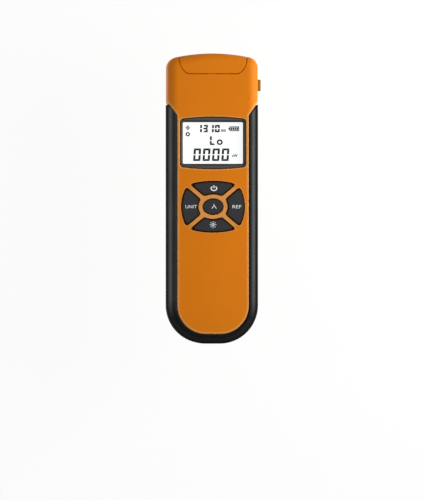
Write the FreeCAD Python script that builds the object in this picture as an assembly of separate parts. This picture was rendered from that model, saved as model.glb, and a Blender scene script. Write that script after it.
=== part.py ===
"""Pocket optical power meter with a flip dust cover, five keys and a battery bay.

Frame, in millimetres: +X to the right of the display, +Y along the body towards the optical port and +Z out
of the display. The origin is the centre of the back face, on which the meter lies.
"""

import FreeCAD, Part
import math
import os
from functools import partial

V = FreeCAD.Vector

# Casing
LENGTH = 122.0
WIDTH = 38.0
DEPTH = 24.0
WALL = 2.4
EDGE_ROUND = 4.0
LEAST_ROUND = 0.3
SMALL_ROUND = 0.3
TOLERANCE = 1e-3
HEAD_CORNER = 4.6
HEAD_CROWN = 1.4
TAIL_CORNER = 16.0
PARTING_Z = 12.0
PARTING_GROOVE = 0.3
LIP_THICK = 0.6
LIP_HEIGHT = 1.2
FIT = 0.1
SEAM = 0.22

# Rubber grip round the sides and the tail
GRIP_BAND = 3.8
GRIP_THICK = 1.2
GRIP_PROUD = 0.12
GRIP_FROM_HEAD = 21.3
GRIP_SLOPE = 5.2
GRIP_ELBOW = 1.2
GRIP_GAP = 0.16
GRIP_EDGE = 0.6
GRIP_TIP_EDGE = 0.2
GRIP_SEAT = 0.06

# Display
DISPLAY_FROM_HEAD = 37.7
BEZEL_HALF_X = 13.9
BEZEL_HALF_Y = 10.1
BEZEL_BOW = 0.95
BEZEL_CORNER = 1.6
BEZEL_THICK = 1.5
BEZEL_SUNK = 0.1
BEZEL_RIM = 0.45
GLASS_HALF_X = 12.65
GLASS_HALF_Y = 8.75
GLASS_CORNER = 0.5
LENS_CORNER = 0.8
LEDGE = 0.75
LENS_THICK = 1.0
CELL_THICK = 1.3
CELL_MARGIN = 0.9
BACKLIGHT_MARGIN = 0.5

# Keypad: four keys round a centre key, cut apart by two diagonal webs, each with a wide arc outside
KEYPAD_FROM_HEAD = 64.5
PAD_HALF_X = 13.2
PAD_HALF_Y = 10.7
PAD_SIDE_R = 17.0
PAD_END_R = 36.0
HUB_HALF_X = 6.35
HUB_HALF_Y = 5.35
CENTRE_HALF_X = 4.3
CENTRE_HALF_Y = 3.45
WEB = 2.1
WEB_ANGLE = 40.3
KEY_CORNER = 0.9
KEY_GAP = 0.2
KEY_PROUD = 0.35
KEY_FLANGE = 0.6
KEY_FLANGE_THICK = 0.8
KEY_STOP_GAP = 0.2
KEY_TRAVEL = 0.6
KEY_EDGE = 0.3
PLUNGER_R = 1.6
DOME_R = 2.4
DOME_HEIGHT = 0.25
PRESS_CLEARANCE = 0.05
RIM_ROUND = 0.35
LIP_ROUND = 0.25
GRIP_LIP_ROUND = 0.4

# Circuit board and what it carries
BOARD_SUNK = 5.0
BOARD_THICK = 1.6
BOARD_HALF_X = 15.0
BOARD_CORNER = 1.0
BOARD_TAIL_CORNER = 3.0
BOARD_FROM_TAIL = 12.0
BOARD_FROM_HEAD = 24.6
TONGUE_HALF_X = 8.0
TONGUE_LENGTH = 2.2
BOARD_SCREW_X = 12.9
BOARD_SCREW_STEPS = (13.1, -16.1)
BOARD_POST_R = 1.8
BOARD_SCREW_R = 0.8
BOARD_SCREW_HEAD_R = 1.5
BOARD_SCREW_HEAD = 1.1
BOARD_SCREW_BITE = 1.6
CHIP_SIDE = 9.0
CHIP_THICK = 1.2
AMP_SIDE = 5.0

# Case screws, from the back
CASE_SCREW_HEAD_X = 12.6
CASE_SCREW_FROM_BULKHEAD = 5.3
CASE_SCREW_TAIL_X = 7.8
CASE_SCREW_FROM_TAIL = 8.2
BOSS_R = 2.6
SCREW_R = 0.9
SCREW_CLEAR_R = 1.1
SCREW_HEAD_R = 1.8
SCREW_HEAD = 1.4
SINK_R = 2.05
SINK_DEPTH = 5.0
SCREW_LENGTH = 11.0
PILOT_GAP = 0.05
CROSS_REACH = 0.62
CROSS_WIDTH = 0.14

# Dust cover and its hinge
COVER_HALF = 14.2
COVER_DROP = 8.5
COVER_CORNER_X = 4.5
COVER_CORNER_Y = 6.9
COVER_THICK = 1.8
HINGE_INSET = 3.8
HINGE_PIN_R = 0.8
HINGE_RUN = 0.05
PIN_FIT = 0.02
PIN_COVERED = 2.8
PIN_SUNK = 1.1
KNUCKLE_WIDTH = 3.0
RIB_WIDTH = 1.6
RIB_TOE = 1.0
RIB_INSET = 0.3
TIP_THICK = 0.6
SEAL_R = 4.4
SEAL_THICK = 1.7
SEAL_RIM = 0.3
SEAL_ROUND = 0.4
SEAL_GAP = 0.3

# Head pocket behind the cover
POCKET_HALF = 13.0
POCKET_DEEP_Z = 9.2
POCKET_FLOOR = 14.0

# Optical port
BORE_R = 1.26
MOUTH_CHAMFER = 0.5
NOSE_CHAMFER = 0.4
NOSE_R = 4.0
NOSE_LENGTH = 8.2
FLANGE_R = 6.0
FLANGE_THICK = 1.4
TAIL_R = 3.5
TAIL_LENGTH = 6.4
SEAT_R = 2.75
SEAT_DEPTH = 5.0
BULKHEAD_THICK = 2.1
BULKHEAD_HALF_X = 14.1
BULKHEAD_RIB = 1.3
BULKHEAD_GRIP = 1.6
NUT_FLATS = 10.0
NUT_THICK = 2.2
CAN_R = 2.7
CAN_LENGTH = 3.4
CAN_WINDOW_R = 1.9
CAN_WINDOW_DEPTH = 0.25
CAN_BRIM = 0.35
CAN_GAP = 0.15
CAN_PIN_R = 0.23
CAN_PIN_CIRCLE = 1.27
CAN_PIN_LENGTH = 3.2
PIN_PROUD = 0.5
DETECTOR_BOARD_THICK = 1.0
DETECTOR_BOARD_HALF_X = 6.0
DETECTOR_BOARD_LOW_Z = 6.0

# Release button on the right side of the head
BUTTON_STEP = 0.7
BUTTON_LONG_Y = 4.8
BUTTON_LONG_Z = 7.6
BUTTON_CORNER = 0.9
BUTTON_PROUD = 1.5
BUTTON_TRAVEL = 1.0
BUTTON_FLANGE = 0.9
BUTTON_FLANGE_LIP = 1.0
BUTTON_GAP = 0.15
BUTTON_EDGE = 0.4
POCKET_SIDE_WALL = 1.2
NOSE_HALF = 1.0
LATCH_STEP = 1.6
LATCH_THICK = 1.4
LATCH_HALF_Z = 2.5
LATCH_GAP = 0.15
NOSE_SETBACK = 0.4
LEAF_SLACK = 0.02
LEAF_THICK = 0.15
LEAF_HALF_Z = 2.6

# Batteries and their bay
CELL_R = 5.25
CELL_LENGTH = 44.5
CELL_NUB_R = 1.9
CELL_NUB = 1.0
CELL_EDGE = 0.5
CELL_PITCH = 10.9
BAY_FROM_TAIL = 16.0
BAY_SIDE_GAP = 0.7
BAY_WALL = 1.2
BAY_ROOF = 1.0
BAY_ROOF_GAP = 0.65
CONTACT_THICK = 0.4
CONTACT_HALF_X = 3.6
LINK_WIDTH = 2.0
LEAF_REACH = 2.6
LEAF_STRIP = 0.3
CONTACT_LOW = 4.2
CONTACT_HEIGHT = 7.2

# Battery cover
DOOR_THICK = 1.5
DOOR_MARGIN = 1.8
DOOR_CORNER = 2.5
DOOR_GAP = 0.2
DOOR_SEAT = 0.05
DOOR_CELL_GAP = 0.3
TAB_X = 7.0
TAB_WIDTH = 3.0
TAB_INSET = 0.3
TAB_REACH = 1.2
TAB_THICK = 0.8
TAB_RISER = 1.2
TAB_CLEAR = 0.15
NOTCH_R = 5.0
NOTCH_DEPTH = 1.1
RIDGES = 4
RIDGE_START = 4.0
RIDGE_PITCH = 1.8
RIDGE_LENGTH = 9.0
RIDGE_WIDTH = 0.8
RIDGE_DEPTH = 0.35

# Places worked out from the sizes above
HALF_X = WIDTH / 2
TOP_Y = LENGTH / 2
INNER_FRONT = DEPTH - WALL
GRIP_TOP = TOP_Y - GRIP_FROM_HEAD
GRIP_ELBOW_Y = GRIP_TOP - GRIP_SLOPE
DISPLAY_Y = TOP_Y - DISPLAY_FROM_HEAD
KEYPAD_Y = TOP_Y - KEYPAD_FROM_HEAD
PORT_Z = PARTING_Z
BUTTON_Z = PARTING_Z
HINGE_Y = TOP_Y - HINGE_INSET
HINGE_Z = HINGE_INSET
SWING_R = math.hypot(HINGE_INSET, EDGE_ROUND - HINGE_INSET)
SWING_CLEAR_R = SWING_R + SEAM
TIP_Y = HINGE_Y - math.sqrt(SWING_CLEAR_R**2 - (HINGE_Z - TIP_THICK) ** 2)
COVER_FRONT_Y = TOP_Y - COVER_DROP
FLOOR_Y = TOP_Y - POCKET_FLOOR
BUTTON_Y = FLOOR_Y + BUTTON_STEP
LATCH_Y = FLOOR_Y + LATCH_STEP
BULKHEAD_Y = FLOOR_Y - BULKHEAD_THICK
CASE_SCREW_HEAD_Y = BULKHEAD_Y - CASE_SCREW_FROM_BULKHEAD
CASE_SCREW_TAIL_Y = -TOP_Y + CASE_SCREW_FROM_TAIL
BOARD_TOP = DEPTH - BOARD_SUNK
BOARD_HEAD_Y = TOP_Y - BOARD_FROM_HEAD
BOARD_TAIL_Y = -TOP_Y + BOARD_FROM_TAIL
TONGUE_Y = BOARD_HEAD_Y + TONGUE_LENGTH
KEY_TOP = DEPTH + KEY_PROUD
KEY_FLANGE_TOP = INNER_FRONT - KEY_STOP_GAP
KEY_FLANGE_LOW = KEY_FLANGE_TOP - KEY_FLANGE_THICK
PLUNGER_END = BOARD_TOP + DOME_HEIGHT + KEY_TRAVEL + PRESS_CLEARANCE
BEZEL_TOP = DEPTH - BEZEL_SUNK
BEZEL_LOW = BEZEL_TOP - BEZEL_THICK
LENS_LOW = BEZEL_LOW - LENS_THICK
CELL_TOP = LENS_LOW - FIT
CELL_LOW = CELL_TOP - CELL_THICK
BOARD_LOW = BOARD_TOP - BOARD_THICK
BAY_HALF_X = CELL_PITCH / 2 + CELL_R + BAY_SIDE_GAP
BAY_LOW_Y = -TOP_Y + BAY_FROM_TAIL
BAY_TOP = BAY_LOW_Y + CELL_LENGTH + LEAF_REACH + 2 * CONTACT_THICK
BATTERY_Z = DOOR_THICK + DOOR_CELL_GAP + CELL_R
CONTACT_HIGH = CONTACT_LOW + CONTACT_HEIGHT
BAY_ROOF_Z = BATTERY_Z + CELL_R + BAY_ROOF_GAP
DOOR_HALF_X = BAY_HALF_X + DOOR_MARGIN
DOOR_TOP_Y = BAY_TOP + DOOR_MARGIN
DOOR_LOW_Y = BAY_LOW_Y - DOOR_MARGIN
TAB_HIGH_Y = DOOR_TOP_Y - TAB_INSET
TAB_TIP_Y = TAB_HIGH_Y + TAB_REACH
TAB_TOP_Z = WALL + TAB_CLEAR + TAB_THICK
NOSE_Y = FLOOR_Y + FLANGE_THICK + NOSE_LENGTH
ADAPTER_TAIL_Y = FLOOR_Y - TAIL_LENGTH
BORE_START_Y = ADAPTER_TAIL_Y + SEAT_DEPTH
BUTTON_CAVITY_X = POCKET_HALF + POCKET_SIDE_WALL
BUTTON_FLANGE_X = HALF_X - WALL - BUTTON_GAP
LATCH_X = POCKET_HALF - SEAM
TURNS = {"right": 0, "top": 90, "left": 180, "bottom": 270}
KEYS = {
    "key_power": "top",
    "key_unit": "left",
    "key_wavelength": "centre",
    "key_reference": "right",
    "key_light": "bottom",
}
BEYOND = 6.0
FAR = 200.0


# ---------------------------------------------------------------- shape helpers


def box(x0, x1, y0, y1, z0, z1):
    """A block between two corners."""
    return Part.makeBox(x1 - x0, y1 - y0, z1 - z0, V(x0, y0, z0))


def rod_x(y, z, radius, x0, x1):
    return Part.makeCylinder(radius, x1 - x0, V(x0, y, z), V(1, 0, 0))


def rod_y(x, z, radius, y0, y1):
    return Part.makeCylinder(radius, y1 - y0, V(x, y0, z), V(0, 1, 0))


def rod_z(x, y, radius, z0, z1):
    return Part.makeCylinder(radius, z1 - z0, V(x, y, z0), V(0, 0, 1))


def upright(face, z0, z1):
    """A face drawn at z = 0, extruded from z0 to z1."""
    solid = face.extrude(V(0, 0, z1 - z0))
    solid.translate(V(0, 0, z0))
    return solid


def drawn_face(corners):
    """A face in the XY plane from (x, y, corner radius) corners, with tangent arcs at the rounded ones."""
    starts, ends, middles = [], [], []
    count = len(corners)
    for i, (x, y, radius) in enumerate(corners):
        here = V(x, y, 0)
        before = V(*corners[i - 1][:2], 0) - here
        after = V(*corners[(i + 1) % count][:2], 0) - here
        before.normalize()
        after.normalize()
        if radius <= 0:
            starts.append(here)
            ends.append(here)
            middles.append(None)
            continue
        half_angle = before.getAngle(after) / 2
        reach = radius / math.tan(half_angle)
        inward = before + after
        inward.normalize()
        centre = here + inward * (radius / math.sin(half_angle))
        starts.append(here + before * reach)
        ends.append(here + after * reach)
        middles.append(centre - inward * radius)
    edges = []
    for i in range(count):
        if middles[i] is not None:
            edges.append(Part.Arc(starts[i], middles[i], ends[i]).toShape())
        next_start = starts[(i + 1) % count]
        if (next_start - ends[i]).Length > TOLERANCE:
            edges.append(Part.LineSegment(ends[i], next_start).toShape())
    return Part.Face(Part.Wire(edges))


def plate_face(half_x, low_y, high_y, corner):
    """A rounded rectangle, centred on x = 0."""
    return drawn_face(
        [
            (-half_x, low_y, corner),
            (half_x, low_y, corner),
            (half_x, high_y, corner),
            (-half_x, high_y, corner),
        ]
    )


def side_prism(points, x0, x1):
    """A prism along X from (y, z) points."""
    corners = [V(x0, y, z) for y, z in points]
    face = Part.Face(Part.makePolygon(corners + corners[:1]))
    return face.extrude(V(x1 - x0, 0, 0))


def is_level(edge, z):
    low, high = edge.BoundBox.ZMin, edge.BoundBox.ZMax
    return abs(low - z) < TOLERANCE and abs(high - z) < TOLERANCE


def rounded_level(shape, z, radius, chosen=lambda edge: True):
    """Rounds the edges that lie at height z and pass the test."""
    edges = [e for e in shape.Edges if is_level(e, z) and chosen(e)]
    return shape.makeFillet(radius, edges)


def rounded_uprights(shape, radius):
    """Rounds the edges that run along Z."""
    edges = [e for e in shape.Edges if max(e.BoundBox.XLength, e.BoundBox.YLength) < TOLERANCE]
    return shape.makeFillet(radius, edges)


def rounded_end(shape, y, radius):
    """Rounds the edges that lie on the plane at y."""
    edges = [e for e in shape.Edges if max(abs(e.BoundBox.YMin - y), abs(e.BoundBox.YMax - y)) < TOLERANCE]
    return shape.makeFillet(radius, edges)


def lies_on(point, skin):
    return Part.Vertex(point).distToShape(skin)[0] < TOLERANCE


def rounded_rim(shape, radius, first, second, low_y=-FAR, high_y=FAR):
    """Rounds the edges of shape along which the skins of two solids meet, between low_y and high_y."""
    skins = [solid.Shells[0] for solid in (first, second)]
    edges = []
    for edge in shape.Edges:
        middle = edge.valueAt((edge.FirstParameter + edge.LastParameter) / 2)
        if low_y < middle.y < high_y and all(lies_on(middle, skin) for skin in skins):
            edges.append(edge)
    return shape.makeFillet(radius, edges)


def fused(shapes):
    whole = shapes[0]
    for shape in shapes[1:]:
        whole = whole.fuse(shape)
    return whole.removeSplitter()


def mirrored_x(shape):
    return shape.mirror(V(0, 0, 0), V(1, 0, 0))


def both_sides(shape):
    """The shape and its mirror image across the middle plane."""
    return [shape, mirrored_x(shape)]


# ---------------------------------------------------------------- casing blocks


def casing_face(inset):
    """The outline seen from the front: crowned head, straight sides and a nearly round tail."""
    half = HALF_X - inset
    chord = HALF_X - HEAD_CORNER
    crown_r = (chord**2 + HEAD_CROWN**2) / (2 * HEAD_CROWN)
    crown_y = TOP_Y - crown_r
    corner_y = crown_y + math.sqrt((crown_r - HEAD_CORNER) ** 2 - chord**2)
    lean = math.atan2(corner_y - crown_y, chord)
    head_r = HEAD_CORNER - inset
    tail_r = TAIL_CORNER - inset
    tail_x = HALF_X - TAIL_CORNER
    tail_y = -TOP_Y + TAIL_CORNER

    def on_head(angle):
        return V(chord + head_r * math.cos(angle), corner_y + head_r * math.sin(angle), 0)

    def on_tail(angle):
        return V(tail_x + tail_r * math.cos(angle), tail_y + tail_r * math.sin(angle), 0)

    def left(point):
        return V(-point.x, point.y, 0)

    side_low, side_high = V(half, tail_y, 0), V(half, corner_y, 0)
    crown_end, tail_end = on_head(lean), on_tail(-math.pi / 2)
    head_mid, tail_mid = on_head(lean / 2), on_tail(-math.pi / 4)
    crown_mid = V(0, TOP_Y - inset, 0)
    edges = [
        Part.LineSegment(side_low, side_high),
        Part.Arc(side_high, head_mid, crown_end),
        Part.Arc(crown_end, crown_mid, left(crown_end)),
        Part.Arc(left(crown_end), left(head_mid), left(side_high)),
        Part.LineSegment(left(side_high), left(side_low)),
        Part.Arc(left(side_low), left(tail_mid), left(tail_end)),
        Part.LineSegment(left(tail_end), tail_end),
        Part.Arc(tail_end, tail_mid, side_low),
    ]
    return Part.Face(Part.Wire([edge.toShape() for edge in edges]))


def casing_block(inset, back=None, front=None):
    """The casing's outer form, drawn in by inset all round, with rolled front and back edges."""
    back = inset if back is None else back
    front = DEPTH - inset if front is None else front
    block = upright(casing_face(inset), back, front)
    rolled = min(EDGE_ROUND, HEAD_CORNER - LEAST_ROUND) - inset
    block = rounded_level(block, front, rolled)
    return rounded_level(block, back, rolled)


def grip_window(clear, elbow_r):
    """The face that the grip leaves free, drawn in by clear, its elbows rounded by elbow_r."""
    half = HALF_X - GRIP_BAND - clear
    low = -TOP_Y + GRIP_BAND + clear
    round_r = TAIL_CORNER - GRIP_BAND - clear
    rise = GRIP_SLOPE / GRIP_BAND
    shift = clear * math.hypot(1, rise) + clear * rise
    elbow_y = GRIP_ELBOW_Y + shift
    out_x = HALF_X + BEYOND
    out_y = elbow_y + (out_x - half) * rise
    return drawn_face(
        [
            (-half, low, round_r),
            (half, low, round_r),
            (half, elbow_y, elbow_r),
            (out_x, out_y, 0),
            (out_x, FAR, 0),
            (-out_x, FAR, 0),
            (-out_x, out_y, 0),
            (-half, elbow_y, elbow_r),
        ]
    )


def grip_zone(clear, elbow_r):
    """Everything beside and below the window, as tall as the casing and more."""
    field = box(-FAR, FAR, -FAR, FAR, -BEYOND, DEPTH + BEYOND)
    return field.cut(upright(grip_window(clear, elbow_r), -2 * BEYOND, DEPTH + 2 * BEYOND))


def make_side_grip():
    outer = casing_block(-GRIP_PROUD, back=0, front=DEPTH + GRIP_PROUD)
    zone = grip_zone(0, 0)
    band = outer.cut(casing_block(GRIP_THICK)).common(zone)
    band = rounded_rim(band, GRIP_EDGE, outer, zone, high_y=GRIP_ELBOW_Y)
    return rounded_rim(band, GRIP_TIP_EDGE, outer, zone, low_y=GRIP_ELBOW_Y)


def grip_recess():
    """What the shells give up to the grip."""
    return grip_zone(GRIP_GAP, GRIP_ELBOW).cut(casing_block(GRIP_THICK + GRIP_SEAT))


# ---------------------------------------------------------------- dust cover


def cover_face(grow):
    """The cover's outline seen from the front: a U with elliptical corners, open upwards."""
    half = COVER_HALF + grow
    low = COVER_FRONT_Y - grow
    flat = COVER_HALF - COVER_CORNER_X
    centre_y = COVER_FRONT_Y + COVER_CORNER_Y
    top = TOP_Y + BEYOND

    def corner(side):
        centre = V(side * flat, centre_y, 0)
        at_side, at_low = V(side * half, centre_y, 0), V(side * flat, low, 0)
        long, short = (at_low, at_side) if centre_y - low >= half - flat else (at_side, at_low)
        return Part.Ellipse(long, short, centre).toShape(0, math.pi / 2)

    sides = Part.makePolygon([V(half, centre_y, 0), V(half, top, 0), V(-half, top, 0), V(-half, centre_y, 0)])
    bottom = Part.LineSegment(V(-flat, low, 0), V(flat, low, 0)).toShape()
    edges = sides.Edges + [corner(-1), bottom, corner(1)]
    return Part.Face(Part.Wire(Part.__sortEdges__(edges)))


def cover_zone(grow):
    """Where the cover's skin runs: a U in front, straight sides behind."""
    back_y = TIP_Y + SEAM - grow
    half = COVER_HALF + grow
    front = upright(cover_face(grow), PORT_Z, DEPTH + BEYOND)
    return front.fuse(box(-half, half, back_y, TOP_Y + BEYOND, -BEYOND, PORT_Z))


def make_dust_cover():
    skin = casing_block(0).cut(casing_block(COVER_THICK)).common(cover_zone(0))
    under_hinge = box(-HALF_X, HALF_X, 0, HINGE_Y, -BEYOND, HINGE_Z)
    skin = skin.cut(under_hinge.cut(rod_x(HINGE_Y, HINGE_Z, SWING_R, -HALF_X, HALF_X)))
    disc = rod_x(HINGE_Y, HINGE_Z, SWING_R - FIT, COVER_HALF - KNUCKLE_WIDTH, COVER_HALF)
    disc = disc.common(casing_block(0))
    rib_low = HINGE_Y - HINGE_PIN_R - RIB_WIDTH
    rib_front = COVER_FRONT_Y + COVER_CORNER_X / 2
    rib_high = DEPTH - COVER_THICK / 2
    rib = side_prism(
        [
            (rib_low, HINGE_Z),
            (rib_low, PORT_Z + LATCH_HALF_Z),
            (rib_front, DEPTH - COVER_THICK - RIB_TOE),
            (rib_front, rib_high),
            (TOP_Y, rib_high),
            (TOP_Y, HINGE_Z),
        ],
        LATCH_X - RIB_WIDTH,
        LATCH_X,
    )
    rib = rib.common(casing_block(COVER_THICK / 2)).common(cover_zone(-RIB_INSET))
    pad_y = NOSE_Y + SEAL_GAP + SEAL_THICK
    boss = rod_y(0, PORT_Z, SEAL_R + SEAL_RIM, pad_y, TOP_Y - COVER_THICK / 2)
    latch = box(
        LATCH_X - LATCH_THICK, LATCH_X, LATCH_Y, HINGE_Y, BUTTON_Z - LATCH_HALF_Z, BUTTON_Z + LATCH_HALF_Z
    )
    cover = fused([skin, *both_sides(disc), *both_sides(rib), boss, latch])
    cover = cover.cut(rod_x(HINGE_Y, HINGE_Z, HINGE_PIN_R + HINGE_RUN, -HALF_X, HALF_X))
    return rounded_rim(cover, LIP_ROUND, casing_block(0), cover_zone(0))


def make_cover_seal():
    low = NOSE_Y + SEAL_GAP
    return rounded_end(rod_y(0, PORT_Z, SEAL_R, low, low + SEAL_THICK), low, SEAL_ROUND)


def make_cover_hinge_pin():
    return rod_x(HINGE_Y, HINGE_Z, HINGE_PIN_R, -HALF_X + PIN_SUNK, HALF_X - PIN_COVERED)


def head_pocket():
    """The room that the cover fills and swings in, taken out of both shells."""
    half = COVER_HALF + SEAM
    high = TOP_Y + BEYOND
    deep_low = HINGE_Y - SWING_CLEAR_R
    return fused(
        [
            box(-POCKET_HALF, POCKET_HALF, FLOOR_Y, high, WALL, INNER_FRONT),
            box(-half, half, deep_low, high, WALL, POCKET_DEEP_Z),
            box(-half, half, TIP_Y, high, -BEYOND, POCKET_DEEP_Z),
            rod_x(HINGE_Y, HINGE_Z, SWING_CLEAR_R, -half, half),
            casing_block(-GRIP_THICK).cut(casing_block(COVER_THICK + SEAM)).common(cover_zone(SEAM)),
            upright(cover_face(SEAM), INNER_FRONT - FIT, DEPTH + BEYOND),
        ]
    )


# ---------------------------------------------------------------- keys


def oval_prism(half_x, half_y, z0, z1):
    oval = Part.Ellipse(V(0, KEYPAD_Y, 0), half_x, half_y).toShape()
    return upright(Part.Face(Part.Wire([oval])), z0, z1)


def outer_key_prism(turn, grow, z0, z1):
    """One of the four outer keys: between two webs, outside the hub and inside its own wide arc."""
    angle = math.radians(WEB_ANGLE)
    half_angle, reach, arc_r = angle, PAD_HALF_X, PAD_SIDE_R
    if turn in ("top", "bottom"):
        half_angle, reach, arc_r = math.pi / 2 - angle, PAD_HALF_Y, PAD_END_R
    start = (WEB / 2 - grow) / math.sin(half_angle)
    far = start + FAR * math.cos(half_angle)
    spread = FAR * math.sin(half_angle)
    tip = V(start, 0, 0)
    wedge = upright(Part.Face(Part.makePolygon([tip, V(far, -spread, 0), V(far, spread, 0), tip])), z0, z1)
    key = wedge.common(rod_z(reach - arc_r, 0, arc_r + grow, z0, z1))
    key.rotate(V(0, 0, 0), V(0, 0, 1), TURNS[turn])
    key.translate(V(0, KEYPAD_Y, 0))
    return rounded_uprights(key.cut(oval_prism(HUB_HALF_X - grow, HUB_HALF_Y - grow, z0, z1)), KEY_CORNER)


def key_prism(name, grow, z0, z1):
    if name == "key_wavelength":
        return oval_prism(CENTRE_HALF_X + grow, CENTRE_HALF_Y + grow, z0, z1)
    return outer_key_prism(KEYS[name], grow, z0, z1)


def key_spot(name):
    """The point under a key where it is pressed."""
    out_x = (PAD_HALF_X + HUB_HALF_X) / 2
    out_y = (PAD_HALF_Y + HUB_HALF_Y) / 2
    steps = {"right": (1, 0), "top": (0, 1), "left": (-1, 0), "bottom": (0, -1), "centre": (0, 0)}
    step_x, step_y = steps[KEYS[name]]
    return step_x * out_x, KEYPAD_Y + step_y * out_y


def make_key(name):
    cap = key_prism(name, -KEY_GAP, KEY_FLANGE_LOW, KEY_TOP)
    cap = rounded_level(cap, KEY_TOP, KEY_EDGE)
    flange = key_prism(name, KEY_FLANGE, KEY_FLANGE_LOW, KEY_FLANGE_TOP)
    x, y = key_spot(name)
    plunger = rod_z(x, y, PLUNGER_R, PLUNGER_END, KEY_FLANGE_LOW)
    return fused([cap, flange, plunger])


def make_dome_contacts():
    """Snap domes on the board, one under each key."""
    ball_r = (DOME_R**2 + DOME_HEIGHT**2) / (2 * DOME_HEIGHT)
    domes = []
    for name in KEYS:
        x, y = key_spot(name)
        ball = Part.makeSphere(ball_r, V(x, y, BOARD_TOP + DOME_HEIGHT - ball_r))
        domes.append(ball.common(rod_z(x, y, DOME_R, BOARD_TOP, BOARD_TOP + BEYOND)))
    return Part.makeCompound(domes)


# ---------------------------------------------------------------- display


def bezel_prism(grow, z0, z1):
    """The bezel's outer form, bowed at its top and bottom."""
    half_x, half_y = BEZEL_HALF_X + grow, BEZEL_HALF_Y + grow

    def corner(side_x, side_y):
        return V(side_x * half_x, DISPLAY_Y + side_y * half_y, 0)

    def bow(side_y):
        middle = V(0, DISPLAY_Y + side_y * (half_y + BEZEL_BOW), 0)
        return Part.Arc(corner(side_y, side_y), middle, corner(-side_y, side_y)).toShape()

    edges = [
        Part.LineSegment(corner(1, -1), corner(1, 1)).toShape(),
        bow(1),
        Part.LineSegment(corner(-1, 1), corner(-1, -1)).toShape(),
        bow(-1),
    ]
    block = upright(Part.Face(Part.Wire(edges)), z0, z1)
    return rounded_uprights(block, BEZEL_CORNER)


def window_wire(half_x, half_y, corner, z):
    face = plate_face(half_x, DISPLAY_Y - half_y, DISPLAY_Y + half_y, corner)
    face.translate(V(0, 0, z))
    return face.OuterWire


def make_display_bezel():
    block = bezel_prism(-FIT, BEZEL_LOW, BEZEL_TOP)
    mouth_corner = BEZEL_CORNER - BEZEL_RIM
    mouth = window_wire(BEZEL_HALF_X - BEZEL_RIM, BEZEL_HALF_Y - BEZEL_RIM, mouth_corner, BEZEL_TOP)
    throat = window_wire(GLASS_HALF_X, GLASS_HALF_Y, GLASS_CORNER, BEZEL_LOW)
    funnel = Part.makeLoft([throat, mouth], True, True)
    return block.cut(funnel)


def display_plate(half_x, half_y, corner, z0, z1):
    return upright(plate_face(half_x, DISPLAY_Y - half_y, DISPLAY_Y + half_y, corner), z0, z1)


def lens_half():
    return BEZEL_HALF_X - LEDGE, BEZEL_HALF_Y - LEDGE


def make_display_lens():
    half_x, half_y = lens_half()
    return display_plate(half_x - FIT, half_y - FIT, LENS_CORNER, LENS_LOW, BEZEL_LOW)


def make_display_cell():
    half_x, half_y = GLASS_HALF_X + CELL_MARGIN, GLASS_HALF_Y + CELL_MARGIN
    return display_plate(half_x, half_y, SMALL_ROUND, CELL_LOW, CELL_TOP)


def make_backlight():
    return display_plate(GLASS_HALF_X + BACKLIGHT_MARGIN, GLASS_HALF_Y, GLASS_CORNER, BOARD_TOP, CELL_LOW)


def make_display_connector():
    """The rubber strip that joins the cell's edge to the board."""
    low = DISPLAY_Y + GLASS_HALF_Y + FIT
    high = DISPLAY_Y + GLASS_HALF_Y + CELL_MARGIN
    return box(-GLASS_HALF_X, GLASS_HALF_X, low, high, BOARD_TOP, CELL_LOW)


# ---------------------------------------------------------------- board, screws and chips


def board_screw_spots():
    return [(side * BOARD_SCREW_X, KEYPAD_Y + step) for step in BOARD_SCREW_STEPS for side in (1, -1)]


def case_screw_spots():
    spots = []
    for side in (1, -1):
        spots.append((side * CASE_SCREW_HEAD_X, CASE_SCREW_HEAD_Y))
        spots.append((side * CASE_SCREW_TAIL_X, CASE_SCREW_TAIL_Y))
    return spots


def make_main_board():
    corners = [
        (-BOARD_HALF_X, BOARD_TAIL_Y, BOARD_TAIL_CORNER),
        (BOARD_HALF_X, BOARD_TAIL_Y, BOARD_TAIL_CORNER),
        (BOARD_HALF_X, BOARD_HEAD_Y, BOARD_CORNER),
        (TONGUE_HALF_X, BOARD_HEAD_Y, 0),
        (TONGUE_HALF_X, TONGUE_Y, BOARD_CORNER),
        (-TONGUE_HALF_X, TONGUE_Y, BOARD_CORNER),
        (-TONGUE_HALF_X, BOARD_HEAD_Y, 0),
        (-BOARD_HALF_X, BOARD_HEAD_Y, BOARD_CORNER),
    ]
    board = upright(drawn_face(corners), BOARD_LOW, BOARD_TOP)
    for x, y in board_screw_spots():
        board = board.cut(rod_z(x, y, BOARD_SCREW_R + FIT, BOARD_LOW - FIT, BOARD_TOP + FIT))
    return board


def cross_cut(x, y, radius, z0, z1):
    """The cross of a screw's drive recess."""
    wide, narrow = CROSS_REACH * radius, CROSS_WIDTH * radius
    bar = box(x - wide, x + wide, y - narrow, y + narrow, z0, z1)
    return bar.fuse(box(x - narrow, x + narrow, y - wide, y + wide, z0, z1))


def make_screw(x, y, head_low, head_high, head_r, shank_r, shank_top):
    """A pan-head screw that points along +Z, with its drive recess below."""
    head = rounded_level(rod_z(x, y, head_r, head_low, head_high), head_low, SMALL_ROUND)
    screw = head.fuse(rod_z(x, y, shank_r, head_high, shank_top))
    return screw.cut(cross_cut(x, y, head_r, head_low - BEYOND, (head_low + head_high) / 2))


def make_board_screws():
    head_low = BOARD_LOW - BOARD_SCREW_HEAD
    tip = BOARD_TOP + BOARD_SCREW_BITE
    screws = [
        make_screw(x, y, head_low, BOARD_LOW, BOARD_SCREW_HEAD_R, BOARD_SCREW_R, tip)
        for x, y in board_screw_spots()
    ]
    return Part.makeCompound(screws)


def make_case_screws():
    seat = SINK_DEPTH + SCREW_HEAD
    screws = [
        make_screw(x, y, SINK_DEPTH, seat, SCREW_HEAD_R, SCREW_R, SINK_DEPTH + SCREW_LENGTH)
        for x, y in case_screw_spots()
    ]
    return Part.makeCompound(screws)


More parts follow.
